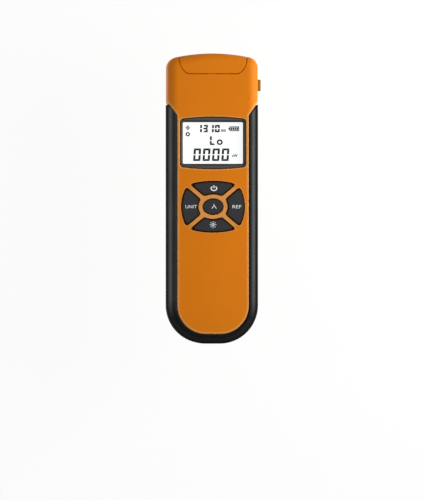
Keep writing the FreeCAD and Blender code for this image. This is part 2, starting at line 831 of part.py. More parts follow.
def make_chip(x, y, side):
    return box(x - side / 2, x + side / 2, y - side / 2, y + side / 2, BOARD_LOW - CHIP_THICK, BOARD_LOW)


def make_processor_chip():
    return make_chip(0, DISPLAY_Y - CHIP_SIDE / 2, CHIP_SIDE)


def make_amplifier_chip():
    return make_chip(0, DISPLAY_Y + CHIP_SIDE / 2 + AMP_SIDE / 2, AMP_SIDE)


# ---------------------------------------------------------------- optical port


def make_port_bulkhead():
    plate = box(-BULKHEAD_HALF_X, BULKHEAD_HALF_X, BULKHEAD_Y, FLOOR_Y, 0, DEPTH)
    plate = plate.common(casing_block(WALL + FIT))
    return plate.cut(rod_y(0, PORT_Z, TAIL_R + FIT, BULKHEAD_Y, FLOOR_Y))


def make_optical_adapter():
    """Flanged sleeve for a 2.5 mm ferrule, with the detector's seat in its tail."""
    mouth_r = BORE_R + MOUTH_CHAMFER
    profile = [
        (SEAT_R, ADAPTER_TAIL_Y),
        (TAIL_R, ADAPTER_TAIL_Y),
        (TAIL_R, FLOOR_Y),
        (FLANGE_R, FLOOR_Y),
        (FLANGE_R, FLOOR_Y + FLANGE_THICK),
        (NOSE_R, FLOOR_Y + FLANGE_THICK),
        (NOSE_R, NOSE_Y - NOSE_CHAMFER),
        (NOSE_R - NOSE_CHAMFER, NOSE_Y),
        (mouth_r, NOSE_Y),
        (BORE_R, NOSE_Y - MOUTH_CHAMFER),
        (BORE_R, BORE_START_Y),
        (SEAT_R, BORE_START_Y),
    ]
    points = [V(r, y, PORT_Z) for r, y in profile]
    face = Part.Face(Part.makePolygon(points + points[:1]))
    return face.revolve(V(0, 0, PORT_Z), V(0, 1, 0), 360)


def make_adapter_nut():
    side_angle = math.pi / 3
    corner_r = NUT_FLATS / 2 / math.cos(side_angle / 2)
    low = BULKHEAD_Y - NUT_THICK
    angles = [side_angle * (i + 1 / 2) for i in range(6)]
    points = [V(corner_r * math.cos(a), low, PORT_Z + corner_r * math.sin(a)) for a in angles]
    hexagon = Part.Face(Part.makePolygon(points + points[:1])).extrude(V(0, NUT_THICK, 0))
    return hexagon.cut(rod_y(0, PORT_Z, TAIL_R + PILOT_GAP, low, BULKHEAD_Y))


def can_low_y():
    return BORE_START_Y - CAN_GAP - CAN_LENGTH


def can_pin_rods(radius, low, high):
    """Rods on the detector's three pins."""
    rods = []
    for angle in (0, 2 * math.pi / 3, 4 * math.pi / 3):
        x = CAN_PIN_CIRCLE * math.sin(angle)
        z = PORT_Z + CAN_PIN_CIRCLE * math.cos(angle)
        rods.append(rod_y(x, z, radius, low, high))
    return rods


def make_detector_can():
    """Photodiode in a metal can: window towards the bore, three pins towards the detector board."""
    low = can_low_y()
    high = low + CAN_LENGTH
    can = rod_y(0, PORT_Z, CAN_R - CAN_BRIM, low, high).fuse(rod_y(0, PORT_Z, CAN_R, low, low + CAN_BRIM))
    can = can.cut(rod_y(0, PORT_Z, CAN_WINDOW_R, high - CAN_WINDOW_DEPTH, high))
    return fused([can, *can_pin_rods(CAN_PIN_R, low - CAN_PIN_LENGTH, low)])


def make_detector_board():
    low = can_low_y() - CAN_PIN_LENGTH + PIN_PROUD
    high = low + DETECTOR_BOARD_THICK
    half = DETECTOR_BOARD_HALF_X
    plate = box(-half, half, low, high, DETECTOR_BOARD_LOW_Z, BOARD_LOW)
    for hole in can_pin_rods(CAN_PIN_R + PILOT_GAP, low, high):
        plate = plate.cut(hole)
    return plate


# ---------------------------------------------------------------- release button


def button_prism(grow, x0, x1):
    """A rounded bar along X with the button's section."""
    half_y, half_z = BUTTON_LONG_Y / 2 + grow, BUTTON_LONG_Z / 2 + grow
    corners = [
        (-half_z, -half_y, BUTTON_CORNER),
        (half_z, -half_y, BUTTON_CORNER),
        (half_z, half_y, BUTTON_CORNER),
        (-half_z, half_y, BUTTON_CORNER),
    ]
    bar = drawn_face(corners).extrude(V(0, 0, x1 - x0))
    bar.rotate(V(0, 0, 0), V(0, 1, 0), 90)
    bar.translate(V(x0, BUTTON_Y, BUTTON_Z))
    return bar


def nose_block(grow, x0, x1):
    """The button's nose, which lifts the cover's latch, or the window that it passes."""
    middle = LATCH_Y + NOSE_SETBACK + NOSE_HALF
    half = NOSE_HALF + grow
    return box(x0, x1, middle - half, middle + half, BUTTON_Z - half, BUTTON_Z + half)


def make_release_button():
    outside = HALF_X + BUTTON_PROUD
    foot = BUTTON_FLANGE_X - BUTTON_FLANGE
    stem = button_prism(0, foot, outside)
    rim = [e for e in stem.Edges if abs(e.BoundBox.XMin - outside) < TOLERANCE]
    stem = stem.makeFillet(BUTTON_EDGE, rim)
    flange = button_prism(BUTTON_FLANGE_LIP, foot, BUTTON_FLANGE_X)
    nose = nose_block(0, LATCH_X + LATCH_GAP + BUTTON_TRAVEL, foot)
    return fused([stem, flange, nose])


def button_room():
    """What the shells give up to the button: its cavity, its mouth in the side and its nose's window."""
    cavity = button_prism(BUTTON_FLANGE_LIP + SEAM, BUTTON_CAVITY_X, HALF_X - WALL)
    mouth = button_prism(BUTTON_GAP, BUTTON_FLANGE_X, HALF_X + BEYOND)
    window = nose_block(SEAM, POCKET_HALF - LATCH_THICK, BUTTON_CAVITY_X)
    return fused([cavity, mouth, window])


def make_release_spring():
    """A bowed leaf between the cavity's floor and the button's flange."""
    low_y = BUTTON_Y - BUTTON_LONG_Y / 2 - BUTTON_FLANGE_LIP / 2
    high_y = LATCH_Y + NOSE_SETBACK - SEAM
    foot_x = BUTTON_CAVITY_X + LEAF_SLACK
    back_x = foot_x + LEAF_THICK
    crest_x = BUTTON_FLANGE_X - BUTTON_FLANGE - LEAF_SLACK
    middle_y = (low_y + high_y) / 2
    z = BUTTON_Z - LEAF_HALF_Z
    edges = [
        Part.Arc(V(back_x, low_y, z), V(crest_x, middle_y, z), V(back_x, high_y, z)).toShape(),
        Part.LineSegment(V(back_x, high_y, z), V(foot_x, high_y, z)).toShape(),
        Part.Arc(V(foot_x, high_y, z), V(crest_x - LEAF_THICK, middle_y, z), V(foot_x, low_y, z)).toShape(),
        Part.LineSegment(V(foot_x, low_y, z), V(back_x, low_y, z)).toShape(),
    ]
    return Part.Face(Part.Wire(edges)).extrude(V(0, 0, 2 * LEAF_HALF_Z))


# ---------------------------------------------------------------- batteries


def make_battery(side):
    """An AAA cell: the left one has its nub towards the head, the right one towards the tail."""
    x = side * CELL_PITCH / 2
    body_length = CELL_LENGTH - CELL_NUB
    can = rod_y(x, BATTERY_Z, CELL_R, 0, body_length)
    can = rounded_end(rounded_end(can, 0, CELL_EDGE), body_length, CELL_EDGE)
    cell = can.fuse(rod_y(x, BATTERY_Z, CELL_NUB_R, body_length, CELL_LENGTH))
    if side < 0:
        cell.translate(V(0, BAY_TOP - CONTACT_THICK - CELL_LENGTH, 0))
        return cell
    cell = cell.mirror(V(0, 0, 0), V(0, 1, 0))
    cell.translate(V(0, BAY_LOW_Y + CONTACT_THICK + CELL_LENGTH, 0))
    return cell


def flat_contact(x, wall_y, inward):
    """A plate on one of the bay's end walls."""
    low_y, high_y = sorted((wall_y, wall_y + inward * CONTACT_THICK))
    return box(x - CONTACT_HALF_X, x + CONTACT_HALF_X, low_y, high_y, CONTACT_LOW, CONTACT_HIGH)


def leaf_contact(x, wall_y, inward):
    """A plate on an end wall with a bowed leaf that presses on a cell's flat end."""
    left = x - CONTACT_HALF_X / 2
    foot = wall_y + inward * CONTACT_THICK / 2
    crest = wall_y + inward * (CONTACT_THICK + LEAF_REACH - FIT)
    middle_z = (CONTACT_LOW + CONTACT_HIGH) / 2

    def bow(inset):
        low, high = CONTACT_LOW + LEAF_STRIP + inset, CONTACT_HIGH - LEAF_STRIP - inset
        return V(left, foot, low), V(left, crest - inward * inset, middle_z), V(left, foot, high)

    outer_low, outer_mid, outer_high = bow(0)
    inner_low, inner_mid, inner_high = bow(LEAF_STRIP)
    edges = [
        Part.Arc(outer_low, outer_mid, outer_high).toShape(),
        Part.LineSegment(outer_high, inner_high).toShape(),
        Part.Arc(inner_high, inner_mid, inner_low).toShape(),
        Part.LineSegment(inner_low, outer_low).toShape(),
    ]
    leaf = Part.Face(Part.Wire(edges)).extrude(V(CONTACT_HALF_X, 0, 0))
    return fused([flat_contact(x, wall_y, inward), leaf])


def make_contact_positive():
    return flat_contact(-CELL_PITCH / 2, BAY_TOP, -1)


def make_contact_negative():
    return leaf_contact(CELL_PITCH / 2, BAY_TOP, -1)


def make_contact_bridge():
    half = CELL_PITCH / 2
    link_low = BATTERY_Z - LINK_WIDTH / 2
    link = box(-half, half, BAY_LOW_Y, BAY_LOW_Y + CONTACT_THICK, link_low, link_low + LINK_WIDTH)
    return fused([leaf_contact(-half, BAY_LOW_Y, 1), link, flat_contact(half, BAY_LOW_Y, 1)])


def bay_room():
    return box(-BAY_HALF_X, BAY_HALF_X, BAY_LOW_Y, BAY_TOP, -BEYOND, BAY_ROOF_Z)


def bay_walls():
    """Side and end walls and the roof that part the cells from the circuit board."""
    outer = box(
        -BAY_HALF_X - BAY_WALL,
        BAY_HALF_X + BAY_WALL,
        BAY_LOW_Y - BAY_WALL,
        BAY_TOP + BAY_WALL,
        WALL / 2,
        BAY_ROOF_Z + BAY_ROOF,
    )
    return outer.common(casing_block(GRIP_THICK + 2 * GRIP_SEAT))


# ---------------------------------------------------------------- battery cover


def door_face(grow):
    return plate_face(DOOR_HALF_X + grow, DOOR_LOW_Y - grow, DOOR_TOP_Y + grow, DOOR_CORNER)


def tab(side):
    """A tab of the battery cover: a riser through the wall's slot and a toe that reaches over the wall."""
    left = side * TAB_X - TAB_WIDTH / 2
    right = left + TAB_WIDTH
    riser = box(left, right, TAB_HIGH_Y - TAB_RISER, TAB_HIGH_Y, DOOR_THICK, TAB_TOP_Z)
    toe = box(left, right, TAB_HIGH_Y - TAB_RISER, TAB_TIP_Y, WALL + TAB_CLEAR, TAB_TOP_Z)
    return riser.fuse(toe)


def tab_room(side):
    """The slot for a tab, open into the bay, with room above for the toe to swing out."""
    left = side * TAB_X - TAB_WIDTH / 2 - DOOR_GAP
    right = left + TAB_WIDTH + 2 * DOOR_GAP
    top = math.hypot(TAB_TOP_Z, TAB_TIP_Y - DOOR_TOP_Y) + TAB_CLEAR
    slot = box(left, right, BAY_TOP - BAY_WALL, TAB_HIGH_Y + DOOR_GAP, 0, top)
    pocket = box(left, right, BAY_TOP - BAY_WALL, TAB_TIP_Y + DOOR_GAP, WALL, top)
    return slot.fuse(pocket)


def make_battery_cover():
    """Flush plate with finger grooves at its tail end and two tabs at its head end."""
    plate = rounded_level(upright(door_face(0), 0, DOOR_THICK), 0, SMALL_ROUND)
    half_x, half_y = RIDGE_LENGTH / 2, RIDGE_WIDTH / 2
    for i in range(RIDGES):
        y = DOOR_LOW_Y + RIDGE_START + i * RIDGE_PITCH
        plate = plate.cut(box(-half_x, half_x, y - half_y, y + half_y, 0, RIDGE_DEPTH))
    return fused([plate, tab(1), tab(-1)])


def finger_notch():
    """The dip in the back wall where a fingertip starts the cover."""
    centre_z = -(NOTCH_R - NOTCH_DEPTH)
    return Part.makeSphere(NOTCH_R, V(0, DOOR_LOW_Y - DOOR_GAP, centre_z))


# ---------------------------------------------------------------- shells


def hollow_casing():
    """The casing's wall, with the cheeks beside the head pocket left solid."""
    room = casing_block(WALL)
    cheek = box(POCKET_HALF, HALF_X, FLOOR_Y, TOP_Y, 0, DEPTH)
    return casing_block(0).cut(room.cut(cheek).cut(mirrored_x(cheek)))


def parting_groove():
    ring = casing_block(-GRIP_THICK).cut(casing_block(PARTING_GROOVE))
    slab = box(-FAR, FAR, -FAR, FAR, PARTING_Z - PARTING_GROOVE / 2, PARTING_Z + PARTING_GROOVE / 2)
    return ring.common(slab)


def shell_lip(clear):
    """The lip on the rear shell that locates the front one."""
    band = casing_block(WALL - LIP_THICK - clear).cut(casing_block(WALL))
    slab = box(-FAR, FAR, -FAR, BULKHEAD_Y - BULKHEAD_RIB, PARTING_Z, PARTING_Z + LIP_HEIGHT + clear)
    return band.common(slab)


def bulkhead_ribs():
    """Ribs that hold the bulkhead against the cheeks."""
    high = BULKHEAD_Y - FIT
    rib = box(BULKHEAD_HALF_X - BULKHEAD_GRIP, HALF_X, high - BULKHEAD_RIB, high, 0, DEPTH)
    whole = rib.fuse(mirrored_x(rib)).common(casing_block(WALL / 2))
    return whole.cut(button_room())


def rounded_lips(shell):
    """Breaks the shell's outer edges beside the cover and beside the grip."""
    skin = casing_block(0)
    shell = rounded_rim(shell, LIP_ROUND, skin, cover_zone(SEAM))
    return rounded_rim(shell, GRIP_LIP_ROUND, skin, grip_zone(GRIP_GAP, GRIP_ELBOW))


def make_front_shell():
    shell = hollow_casing().fuse(bulkhead_ribs())
    shell = shell.common(box(-FAR, FAR, -FAR, FAR, PARTING_Z, FAR))
    shell = shell.cut(parting_groove()).cut(shell_lip(FIT))
    for x, y in case_screw_spots():
        shell = shell.fuse(rod_z(x, y, BOSS_R, PARTING_Z, INNER_FRONT))
    for x, y in board_screw_spots():
        shell = shell.fuse(rod_z(x, y, BOARD_POST_R, BOARD_TOP, INNER_FRONT))
    shell = shell.cut(head_pocket()).cut(button_room()).cut(grip_recess())
    half_x, half_y = lens_half()
    shell = shell.cut(bezel_prism(0, BEZEL_LOW, DEPTH + BEYOND))
    shell = shell.cut(display_plate(half_x, half_y, LENS_CORNER, INNER_FRONT - BEYOND, BEZEL_TOP))
    for name in KEYS:
        shell = shell.cut(key_prism(name, 0, INNER_FRONT - BEYOND, DEPTH + BEYOND))
    for x, y in case_screw_spots():
        shell = shell.cut(rod_z(x, y, SCREW_R + PILOT_GAP, 0, SINK_DEPTH + SCREW_LENGTH + FIT))
    for x, y in board_screw_spots():
        shell = shell.cut(rod_z(x, y, BOARD_SCREW_R + PILOT_GAP, 0, BOARD_TOP + BOARD_SCREW_BITE + FIT))

    lowest = KEYPAD_Y - PAD_HALF_Y - TOLERANCE
    highest = DISPLAY_Y + BEZEL_HALF_Y + BEZEL_BOW + TOLERANCE
    window_half = HALF_X - GRIP_BAND - GRIP_GAP - TOLERANCE

    def frames_an_opening(edge):
        reach = max(abs(edge.BoundBox.XMin), abs(edge.BoundBox.XMax))
        return reach < window_half and edge.BoundBox.YMin > lowest and edge.BoundBox.YMax < highest

    shell = rounded_level(shell.removeSplitter(), DEPTH, RIM_ROUND, frames_an_opening)
    return rounded_lips(shell)


def make_rear_shell():
    shell = hollow_casing().fuse(bulkhead_ribs())
    shell = shell.common(box(-FAR, FAR, -FAR, FAR, -FAR, PARTING_Z))
    shell = shell.cut(parting_groove()).fuse(shell_lip(0)).fuse(bay_walls())
    for x, y in case_screw_spots():
        shell = shell.fuse(rod_z(x, y, BOSS_R, WALL / 2, PARTING_Z - FIT))
    shell = shell.cut(head_pocket()).cut(button_room()).cut(grip_recess())
    shell = shell.cut(bay_room()).cut(finger_notch())
    shell = shell.cut(upright(door_face(DOOR_GAP), 0, DOOR_THICK + DOOR_SEAT))
    for side in (1, -1):
        shell = shell.cut(tab_room(side))
    for x, y in case_screw_spots():
        shell = shell.cut(rod_z(x, y, SINK_R, 0, SINK_DEPTH + SCREW_HEAD))
        shell = shell.cut(rod_z(x, y, SCREW_CLEAR_R, 0, PARTING_Z))
    pin_bore = rod_x(HINGE_Y, HINGE_Z, HINGE_PIN_R + PIN_FIT, -HALF_X, HALF_X - PIN_COVERED + FIT)
    return rounded_lips(shell.cut(pin_bore).removeSplitter())


# ---------------------------------------------------------------- export

NODES = {
    "front_shell": make_front_shell,
    "rear_shell": make_rear_shell,
    "side_grip": make_side_grip,
    "display_bezel": make_display_bezel,
    "display_lens": make_display_lens,
    "display_cell": make_display_cell,
    "backlight": make_backlight,
    "display_connector": make_display_connector,
    "main_board": make_main_board,
    "dome_contacts": make_dome_contacts,
    "processor_chip": make_processor_chip,
    "amplifier_chip": make_amplifier_chip,
    "board_screws": make_board_screws,
    "case_screws": make_case_screws,
    "port_bulkhead": make_port_bulkhead,
    "optical_adapter": make_optical_adapter,
    "adapter_nut": make_adapter_nut,
    "detector_can": make_detector_can,
    "detector_board": make_detector_board,
    "cover_hinge_pin": make_cover_hinge_pin,
    "dust_cover": make_dust_cover,
    "cover_seal": make_cover_seal,
    "release_button": make_release_button,
    "release_spring": make_release_spring,
    "battery_left": partial(make_battery, -1),
    "battery_right": partial(make_battery, 1),
    "contact_positive": make_contact_positive,
    "contact_negative": make_contact_negative,
    "contact_bridge": make_contact_bridge,
    "battery_cover": make_battery_cover,
}
for key_name in KEYS:
    NODES[key_name] = partial(make_key, key_name)

os.makedirs("parts", exist_ok=True)
for node, make in NODES.items():
    solid = make()
    solid.exportStep(f"parts/{node}.step")
    print(f"{node}: {len(solid.Solids)} solid(s), {solid.Volume:.1f} mm3, valid {solid.isValid()}")
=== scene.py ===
import math

import bmesh
import bpy
from mathutils import Matrix, Vector


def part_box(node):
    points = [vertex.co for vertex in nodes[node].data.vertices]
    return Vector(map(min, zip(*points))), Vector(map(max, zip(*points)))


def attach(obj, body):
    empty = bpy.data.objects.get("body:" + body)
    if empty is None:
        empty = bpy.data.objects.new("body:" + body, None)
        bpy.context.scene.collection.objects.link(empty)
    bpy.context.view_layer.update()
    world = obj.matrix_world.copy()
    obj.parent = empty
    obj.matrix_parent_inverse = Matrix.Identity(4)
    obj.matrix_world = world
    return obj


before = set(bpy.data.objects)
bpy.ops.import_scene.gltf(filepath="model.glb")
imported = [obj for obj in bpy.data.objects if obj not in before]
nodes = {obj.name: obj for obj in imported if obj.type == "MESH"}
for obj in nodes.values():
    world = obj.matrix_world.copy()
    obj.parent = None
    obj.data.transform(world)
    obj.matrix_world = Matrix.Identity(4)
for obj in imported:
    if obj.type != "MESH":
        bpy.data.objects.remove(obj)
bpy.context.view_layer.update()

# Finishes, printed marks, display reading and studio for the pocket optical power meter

MM = 0.001
HOUSING = "housing"


# ------------------------------------------------------------------ outlines of the front

# The grip's outer edge and the front window between its rails, both rounded about the same
# tail centres; above its elbows the window widens to the sides of the head
GRIP_HALF = 19.12 * MM
WINDOW_HALF = 15.04 * MM
TAIL_CENTRE_X = 3.0 * MM
TAIL_CENTRE_Y = -45.0 * MM
ELBOW_Y = 35.0 * MM
ELBOW_WIDE, ELBOW_HIGH = 3.8, 5.2
ELBOW_RISE = math.atan2(ELBOW_HIGH, ELBOW_WIDE)
FACE_Z = 24.0 * MM

# The keypad: two side arcs and two end arcs outside, an oval hub with the centre key, and two
# webs that cross under the hub; KEY_BLEND rounds the corners of the openings, and OVAL_LEAST
# keeps the middle of an oval from a division by nothing
KEYPAD_Y = -3.5 * MM
PAD_HALF_X = 13.2 * MM
PAD_HALF_Y = 10.7 * MM
PAD_SIDE_R = 17.0 * MM
PAD_END_R = 36.0 * MM
HUB = (6.35 * MM, 5.35 * MM)
CENTRE_KEY = (4.3 * MM, 3.45 * MM)
HALF_WEB = 1.05 * MM
WEB_RISE = math.radians(40.3)
KEY_BLEND = 2.2 * MM
OVAL_LEAST = 0.001

# The display bezel's outline: straight sides, and a bowed top and bottom
DISPLAY_Y = 23.3 * MM
BEZEL_HALF_X = 13.9 * MM
BEZEL_REACH_Y = 11.05 * MM
BOW_RADIUS = 102.2 * MM
BEZEL_BLEND = 2.4 * MM
GLASS_HALF_X = 12.7 * MM
GLASS_HALF_Y = 8.8 * MM


# ------------------------------------------------------------------ colours, painted highlights and painted shade

# Where most of a noise's values lie, and the waves to the metre of slow colour and gloss
NOISE_LOW, NOISE_HIGH = 0.3, 0.7
COLOUR_WAVES, GLOSS_WAVES = 55, 240

# Front casing: its lips, painted pale tan as a highlight, which start and end at these
# distances into the window, into a key's opening and into the keypad, and at these heights;
# KEY_SHADOW is where the painted brown shade inside the outer keys' openings starts
ORANGE = dict(colour=(0.66, 0.185, 0.008), drift=0.03, rough=(0.36, 0.44), specular=0.04)
LIP_WAVES = 700
LIP_HIGHLIGHT_TAN = ((0.35, (0.6, 0.29, 0.08)), (0.65, (0.68, 0.34, 0.11)))
LIP_SHARE = 0.85
LIP_POLISH = 0.12
LIP_DEPTH = 0.42 * MM
LIP_FADE = 0.12 * MM
LIP_RISE = (20.0 * MM, 21.5 * MM)
GRIP_LIP = (0.36 * MM, 1.1 * MM)
BEZEL_LIP = 0.4 * MM
KEY_LIP = (-0.7 * MM, -0.2 * MM)
WEB_LIP = (0.9 * MM, 2.2 * MM)
WEB_SHARE = 0.85
KEY_SHADOW = (-0.32 * MM, -0.18 * MM)
KEY_SHADE_BROWN = (0.05, 0.012, 0.001)

# Grip: how far its black is painted grey as a highlight along each rail's crown, across a rail
# from the outer edge to the inner, on the left and the right rail, and at the tail
GRIP_BLACK = (0.008, 0.0076, 0.0072)
RAIL_HIGHLIGHT_GREY = (0.118, 0.125, 0.126)
RAIL_WIDTH = 4.0 * MM
HIGHLIGHT_SHIFT = 0.4 * MM
HIGHLIGHT_ACROSS = ((0.15, 0.0), (0.34, 1.0), (0.46, 1.0), (0.68, 0.2), (1.0, 0.2))
HIGHLIGHT_LEFT, HIGHLIGHT_RIGHT, HIGHLIGHT_TAIL = 1.0, 0.55, 0.12
HIGHLIGHT_FADE_Y = (-50.0 * MM, -42.0 * MM)
HIGHLIGHT_WAVES = 120
HIGHLIGHT_PATCHES = (0.85, 1.0)
MATT_ROUGH, HIGHLIGHT_ROUGH = 0.9, 0.4

# Keys: slate, with a painted brown shade along the rounded edge of each top
KEY_SLATE = (0.023, 0.0255, 0.029)
KEY_EDGE_SHADE = (0.028, 0.008, 0.001)
KEY_SHADE_RIM = (0.58 * MM, 0.68 * MM)

# Bezel and display; the bezel's tones, painted shade that darkens from grey on top to near
# black down at the glass, run from the glass up, and BEZEL_TOP is its top on them; a painted
# brown shade runs along the bezel's outer edge
BEZEL_GREY = (0.082, 0.072, 0.062)
BEZEL_RIM_SHADE = (0.045, 0.017, 0.005)
BEZEL_SHADE_TONES = ((0.3, (0.004, 0.0035, 0.003)), (0.8, (0.05, 0.046, 0.041)), (0.92, BEZEL_GREY))
BEZEL_TOP = 0.9
BEZEL_SHADE_SHARE = 0.75
BEZEL_SHADE_REACH = 0.5 * MM
GLASS_FILM = 0.04
BORDER_FADE = 0.04 * MM
DISPLAY_GREY = ((NOISE_LOW, (0.24, 0.25, 0.25)), (NOISE_HIGH, (0.26, 0.27, 0.27)))
DISPLAY_LIT = (0.97, 0.985, 1.0, 1.0)
DISPLAY_GLOW = 0.9

# Print: the levels of noise at which it is thin and full
PRINT_THIN, PRINT_FULL = 0.35, 0.6


# ------------------------------------------------------------------ finishes


class Finish:
    """One material while it is put together."""

    def __init__(self, name, **surface):
        self.material = bpy.data.materials.new(name)
        self.material.use_nodes = True
        self.tree = self.material.node_tree
        self.shader = self.tree.nodes["Principled BSDF"]
        self.surface(**surface)

    def set(self, node, inputs):
        """Gives a node's inputs their numbers, or links them where the value is a socket."""
        for key, value in inputs.items():
            socket = node.inputs[key.replace("_", " ") if isinstance(key, str) else key]
            if isinstance(value, bpy.types.NodeSocket):
                self.tree.links.new(value, socket)
            else:
                socket.default_value = value

    def surface(self, **inputs):
        self.set(self.shader, inputs)

    def linked(self, name):
        """The socket that one of the surface's inputs is linked to so far."""
        return self.shader.inputs[name].links[0].from_socket

    def add(self, kind, inputs=None, **settings):
        node = self.tree.nodes.new(kind)
        for key, value in settings.items():
            setattr(node, key, value)
        self.set(node, inputs or {})
        return node

    def math(self, operation, *values):
        inputs = dict(enumerate(values))
        return self.add("ShaderNodeMath", inputs, operation=operation).outputs[0]

    def length(self, across, along):
        """The length of a line from its two sides."""
        squares = (self.math("MULTIPLY", side, side) for side in (across, along))
        return self.math("SQRT", self.math("ADD", *squares))

    def place(self, scale=(1, 1, 1)):
        """The point on the piece, stretched by scale."""
        coordinates = self.add("ShaderNodeTexCoord").outputs["Object"]
        mapping = self.add("ShaderNodeMapping", {"Vector": coordinates, "Scale": scale})
        return mapping.outputs["Vector"]

    def axes(self):
        return self.add("ShaderNodeSeparateXYZ", {"Vector": self.place()}).outputs

    def noise(self, waves, detail=2.0, scale=(1, 1, 1)):
        """Noise of so many waves to the metre."""
        inputs = {"Vector": self.place(scale), "Scale": waves, "Detail": detail}
        return self.add("ShaderNodeTexNoise", inputs).outputs["Fac"]

    def spread(self, value, low, high, from_low=NOISE_LOW, from_high=NOISE_HIGH):
        """A value between from_low and from_high spread over low to high."""
        source = {"Value": value, "From Min": from_low, "From Max": from_high}
        target = {"To Min": low, "To Max": high}
        return self.add("ShaderNodeMapRange", source | target).outputs["Result"]

    def ramp(self, value, *stops, stepped=False):
        """A colour ramp: each stop is a position and a colour, or a level of grey."""
        node = self.add("ShaderNodeValToRGB", {"Fac": value})
        node.color_ramp.interpolation = "CONSTANT" if stepped else "LINEAR"
        elements = node.color_ramp.elements
        while len(elements) < len(stops):
            elements.new(1.0)
        for element, (position, colour) in zip(elements, stops):
            element.position = position
            element.color = (*(colour if isinstance(colour, tuple) else (colour,) * 3), 1.0)
        return node.outputs["Color"]

    def mix(self, share, first, second):
        """The first colour, giving way to the second as share goes to 1."""
        node = self.add("ShaderNodeMix", data_type="RGBA")
        self.set(node, {"Factor": share})
        colours = [socket for socket in node.inputs if socket.type == "RGBA"]
        for socket, colour in zip(colours, (first, second)):
            if isinstance(colour, bpy.types.NodeSocket):
                self.tree.links.new(colour, socket)
            else:
                socket.default_value = (*colour, 1.0)
        return next(socket for socket in node.outputs if socket.type == "RGBA")

    def relief(self, height, depth, strength=1.0):
        """Raises the surface by depth where height is 1."""
        inputs = {"Height": height, "Distance": depth, "Strength": strength}
        self.surface(Normal=self.add("ShaderNodeBump", inputs).outputs["Normal"])


def shades(colour, drift):
    """A colour, a little darker and a little lighter."""
    factors = (1 - drift, 1 + drift)
    return [tuple(min(1.0, level * factor) for level in colour) for factor in factors]


def moulded(name, colour, drift, rough, specular, grain=4500, depth=0.006):
    """Moulded plastic or rubber: a slow drift in colour and gloss under a fine eroded grain."""
    finish = Finish(name, Specular_IOR_Level=specular)
    darker, lighter = shades(colour, drift)
    patches = finish.noise(COLOUR_WAVES, detail=3.0)
    finish.surface(
        Base_Color=finish.ramp(patches, (NOISE_LOW, darker), (NOISE_HIGH, lighter)),
        Roughness=finish.spread(finish.noise(GLOSS_WAVES), *rough),
    )
    finish.relief(finish.noise(grain, detail=1.0), depth * MM)
    return finish


def metal(name, colour, rough, streak=(1, 1, 1), waves=900, drift=0.14, depth=0.004):
    """Plated or rolled metal with fine streaks."""
    finish = Finish(name, Metallic=1.0)
    darker, _ = shades(colour, drift)
    lines = finish.noise(waves, detail=3.0, scale=streak)
    finish.surface(
        Base_Color=finish.ramp(lines, (NOISE_LOW, darker), (NOISE_HIGH, colour)),
        Roughness=finish.spread(lines, *rough),
    )
    finish.relief(lines, depth * MM)
    return finish


def ink(name, colour, drift=0.1, rough=(0.45, 0.6), specular=0.2, waves=3000):
    """Print, a little thin in places."""
    finish = Finish(name, Specular_IOR_Level=specular)
    darker, _ = shades(colour, drift)
    cover = finish.noise(waves)
    finish.surface(
        Base_Color=finish.ramp(cover, (PRINT_THIN, darker), (PRINT_FULL, colour)),
        Roughness=finish.spread(cover, *rough),
    )
    return finish


def from_edge(finish, half, shift=0.0):
    """How far a point lies inside an outline of straight sides and a round tail."""
    x, y, _ = finish.axes()
    do = finish.math
    across = do("ABSOLUTE", do("ADD", x, shift))
    side = do("MAXIMUM", do("SUBTRACT", across, TAIL_CENTRE_X), 0.0)
    tail = do("MAXIMUM", do("SUBTRACT", TAIL_CENTRE_Y, y), 0.0)
    return do("SUBTRACT", half - TAIL_CENTRE_X, finish.length(side, tail))


def from_grip(finish):
    """How far a point of the front lies inside the window that the grip leaves free."""
    x, y, _ = finish.axes()
    do = finish.math
    beside = do("SUBTRACT", do("ABSOLUTE", x), WINDOW_HALF)
    outward = do("MULTIPLY", beside, -math.sin(ELBOW_RISE))
    upward = do("MULTIPLY", do("SUBTRACT", y, ELBOW_Y), math.cos(ELBOW_RISE))
    return do("MAXIMUM", from_edge(finish, WINDOW_HALF), do("ADD", outward, upward))


def from_arc(finish, toward, aside, reach, radius):
    """How far a point lies inside a pair of opposite arcs, each reach from the middle."""
    along = finish.math("ADD", finish.math("ABSOLUTE", toward), radius - reach)
    return finish.math("SUBTRACT", radius, finish.length(along, aside))


def from_bezel_edge(finish):
    """How far a point lies inside the bezel's outline."""
    x, y, _ = finish.axes()
    beside = finish.math("SUBTRACT", BEZEL_HALF_X, finish.math("ABSOLUTE", x))
    up = finish.math("SUBTRACT", y, DISPLAY_Y)
    bowed = from_arc(finish, up, x, BEZEL_REACH_Y, BOW_RADIUS)
    return finish.math("SMOOTH_MIN", beside, bowed, BEZEL_BLEND)


def from_oval(finish, x, y, half_x, half_y):
    """About how far a point lies inside an oval."""
    do = finish.math
    length = finish.length(x, y)
    share = finish.length(do("DIVIDE", x, half_x), do("DIVIDE", y, half_y))
    return do("SUBTRACT", do("DIVIDE", length, do("MAXIMUM", share, OVAL_LEAST)), length)


def from_key_edges(finish):
    """How far a point lies inside the keypad, an outer key's opening and any key's opening."""
    x, y, _ = finish.axes()
    do = finish.math
    up = do("SUBTRACT", y, KEYPAD_Y)
    beside = from_arc(finish, x, up, PAD_HALF_X, PAD_SIDE_R)
    pad = do("MINIMUM", beside, from_arc(finish, up, x, PAD_HALF_Y, PAD_END_R))
    across = do("MULTIPLY", do("ABSOLUTE", x), math.sin(WEB_RISE))
    along = do("MULTIPLY", do("ABSOLUTE", up), math.cos(WEB_RISE))
    web = do("SUBTRACT", do("ABSOLUTE", do("SUBTRACT", along, across)), HALF_WEB)
    outside_hub = do("MULTIPLY", from_oval(finish, x, up, *HUB), -1.0)
    outer = do("SMOOTH_MIN", do("SMOOTH_MIN", web, pad, KEY_BLEND), outside_hub, KEY_BLEND)
    return pad, outer, do("MAXIMUM", outer, from_oval(finish, x, up, *CENTRE_KEY))


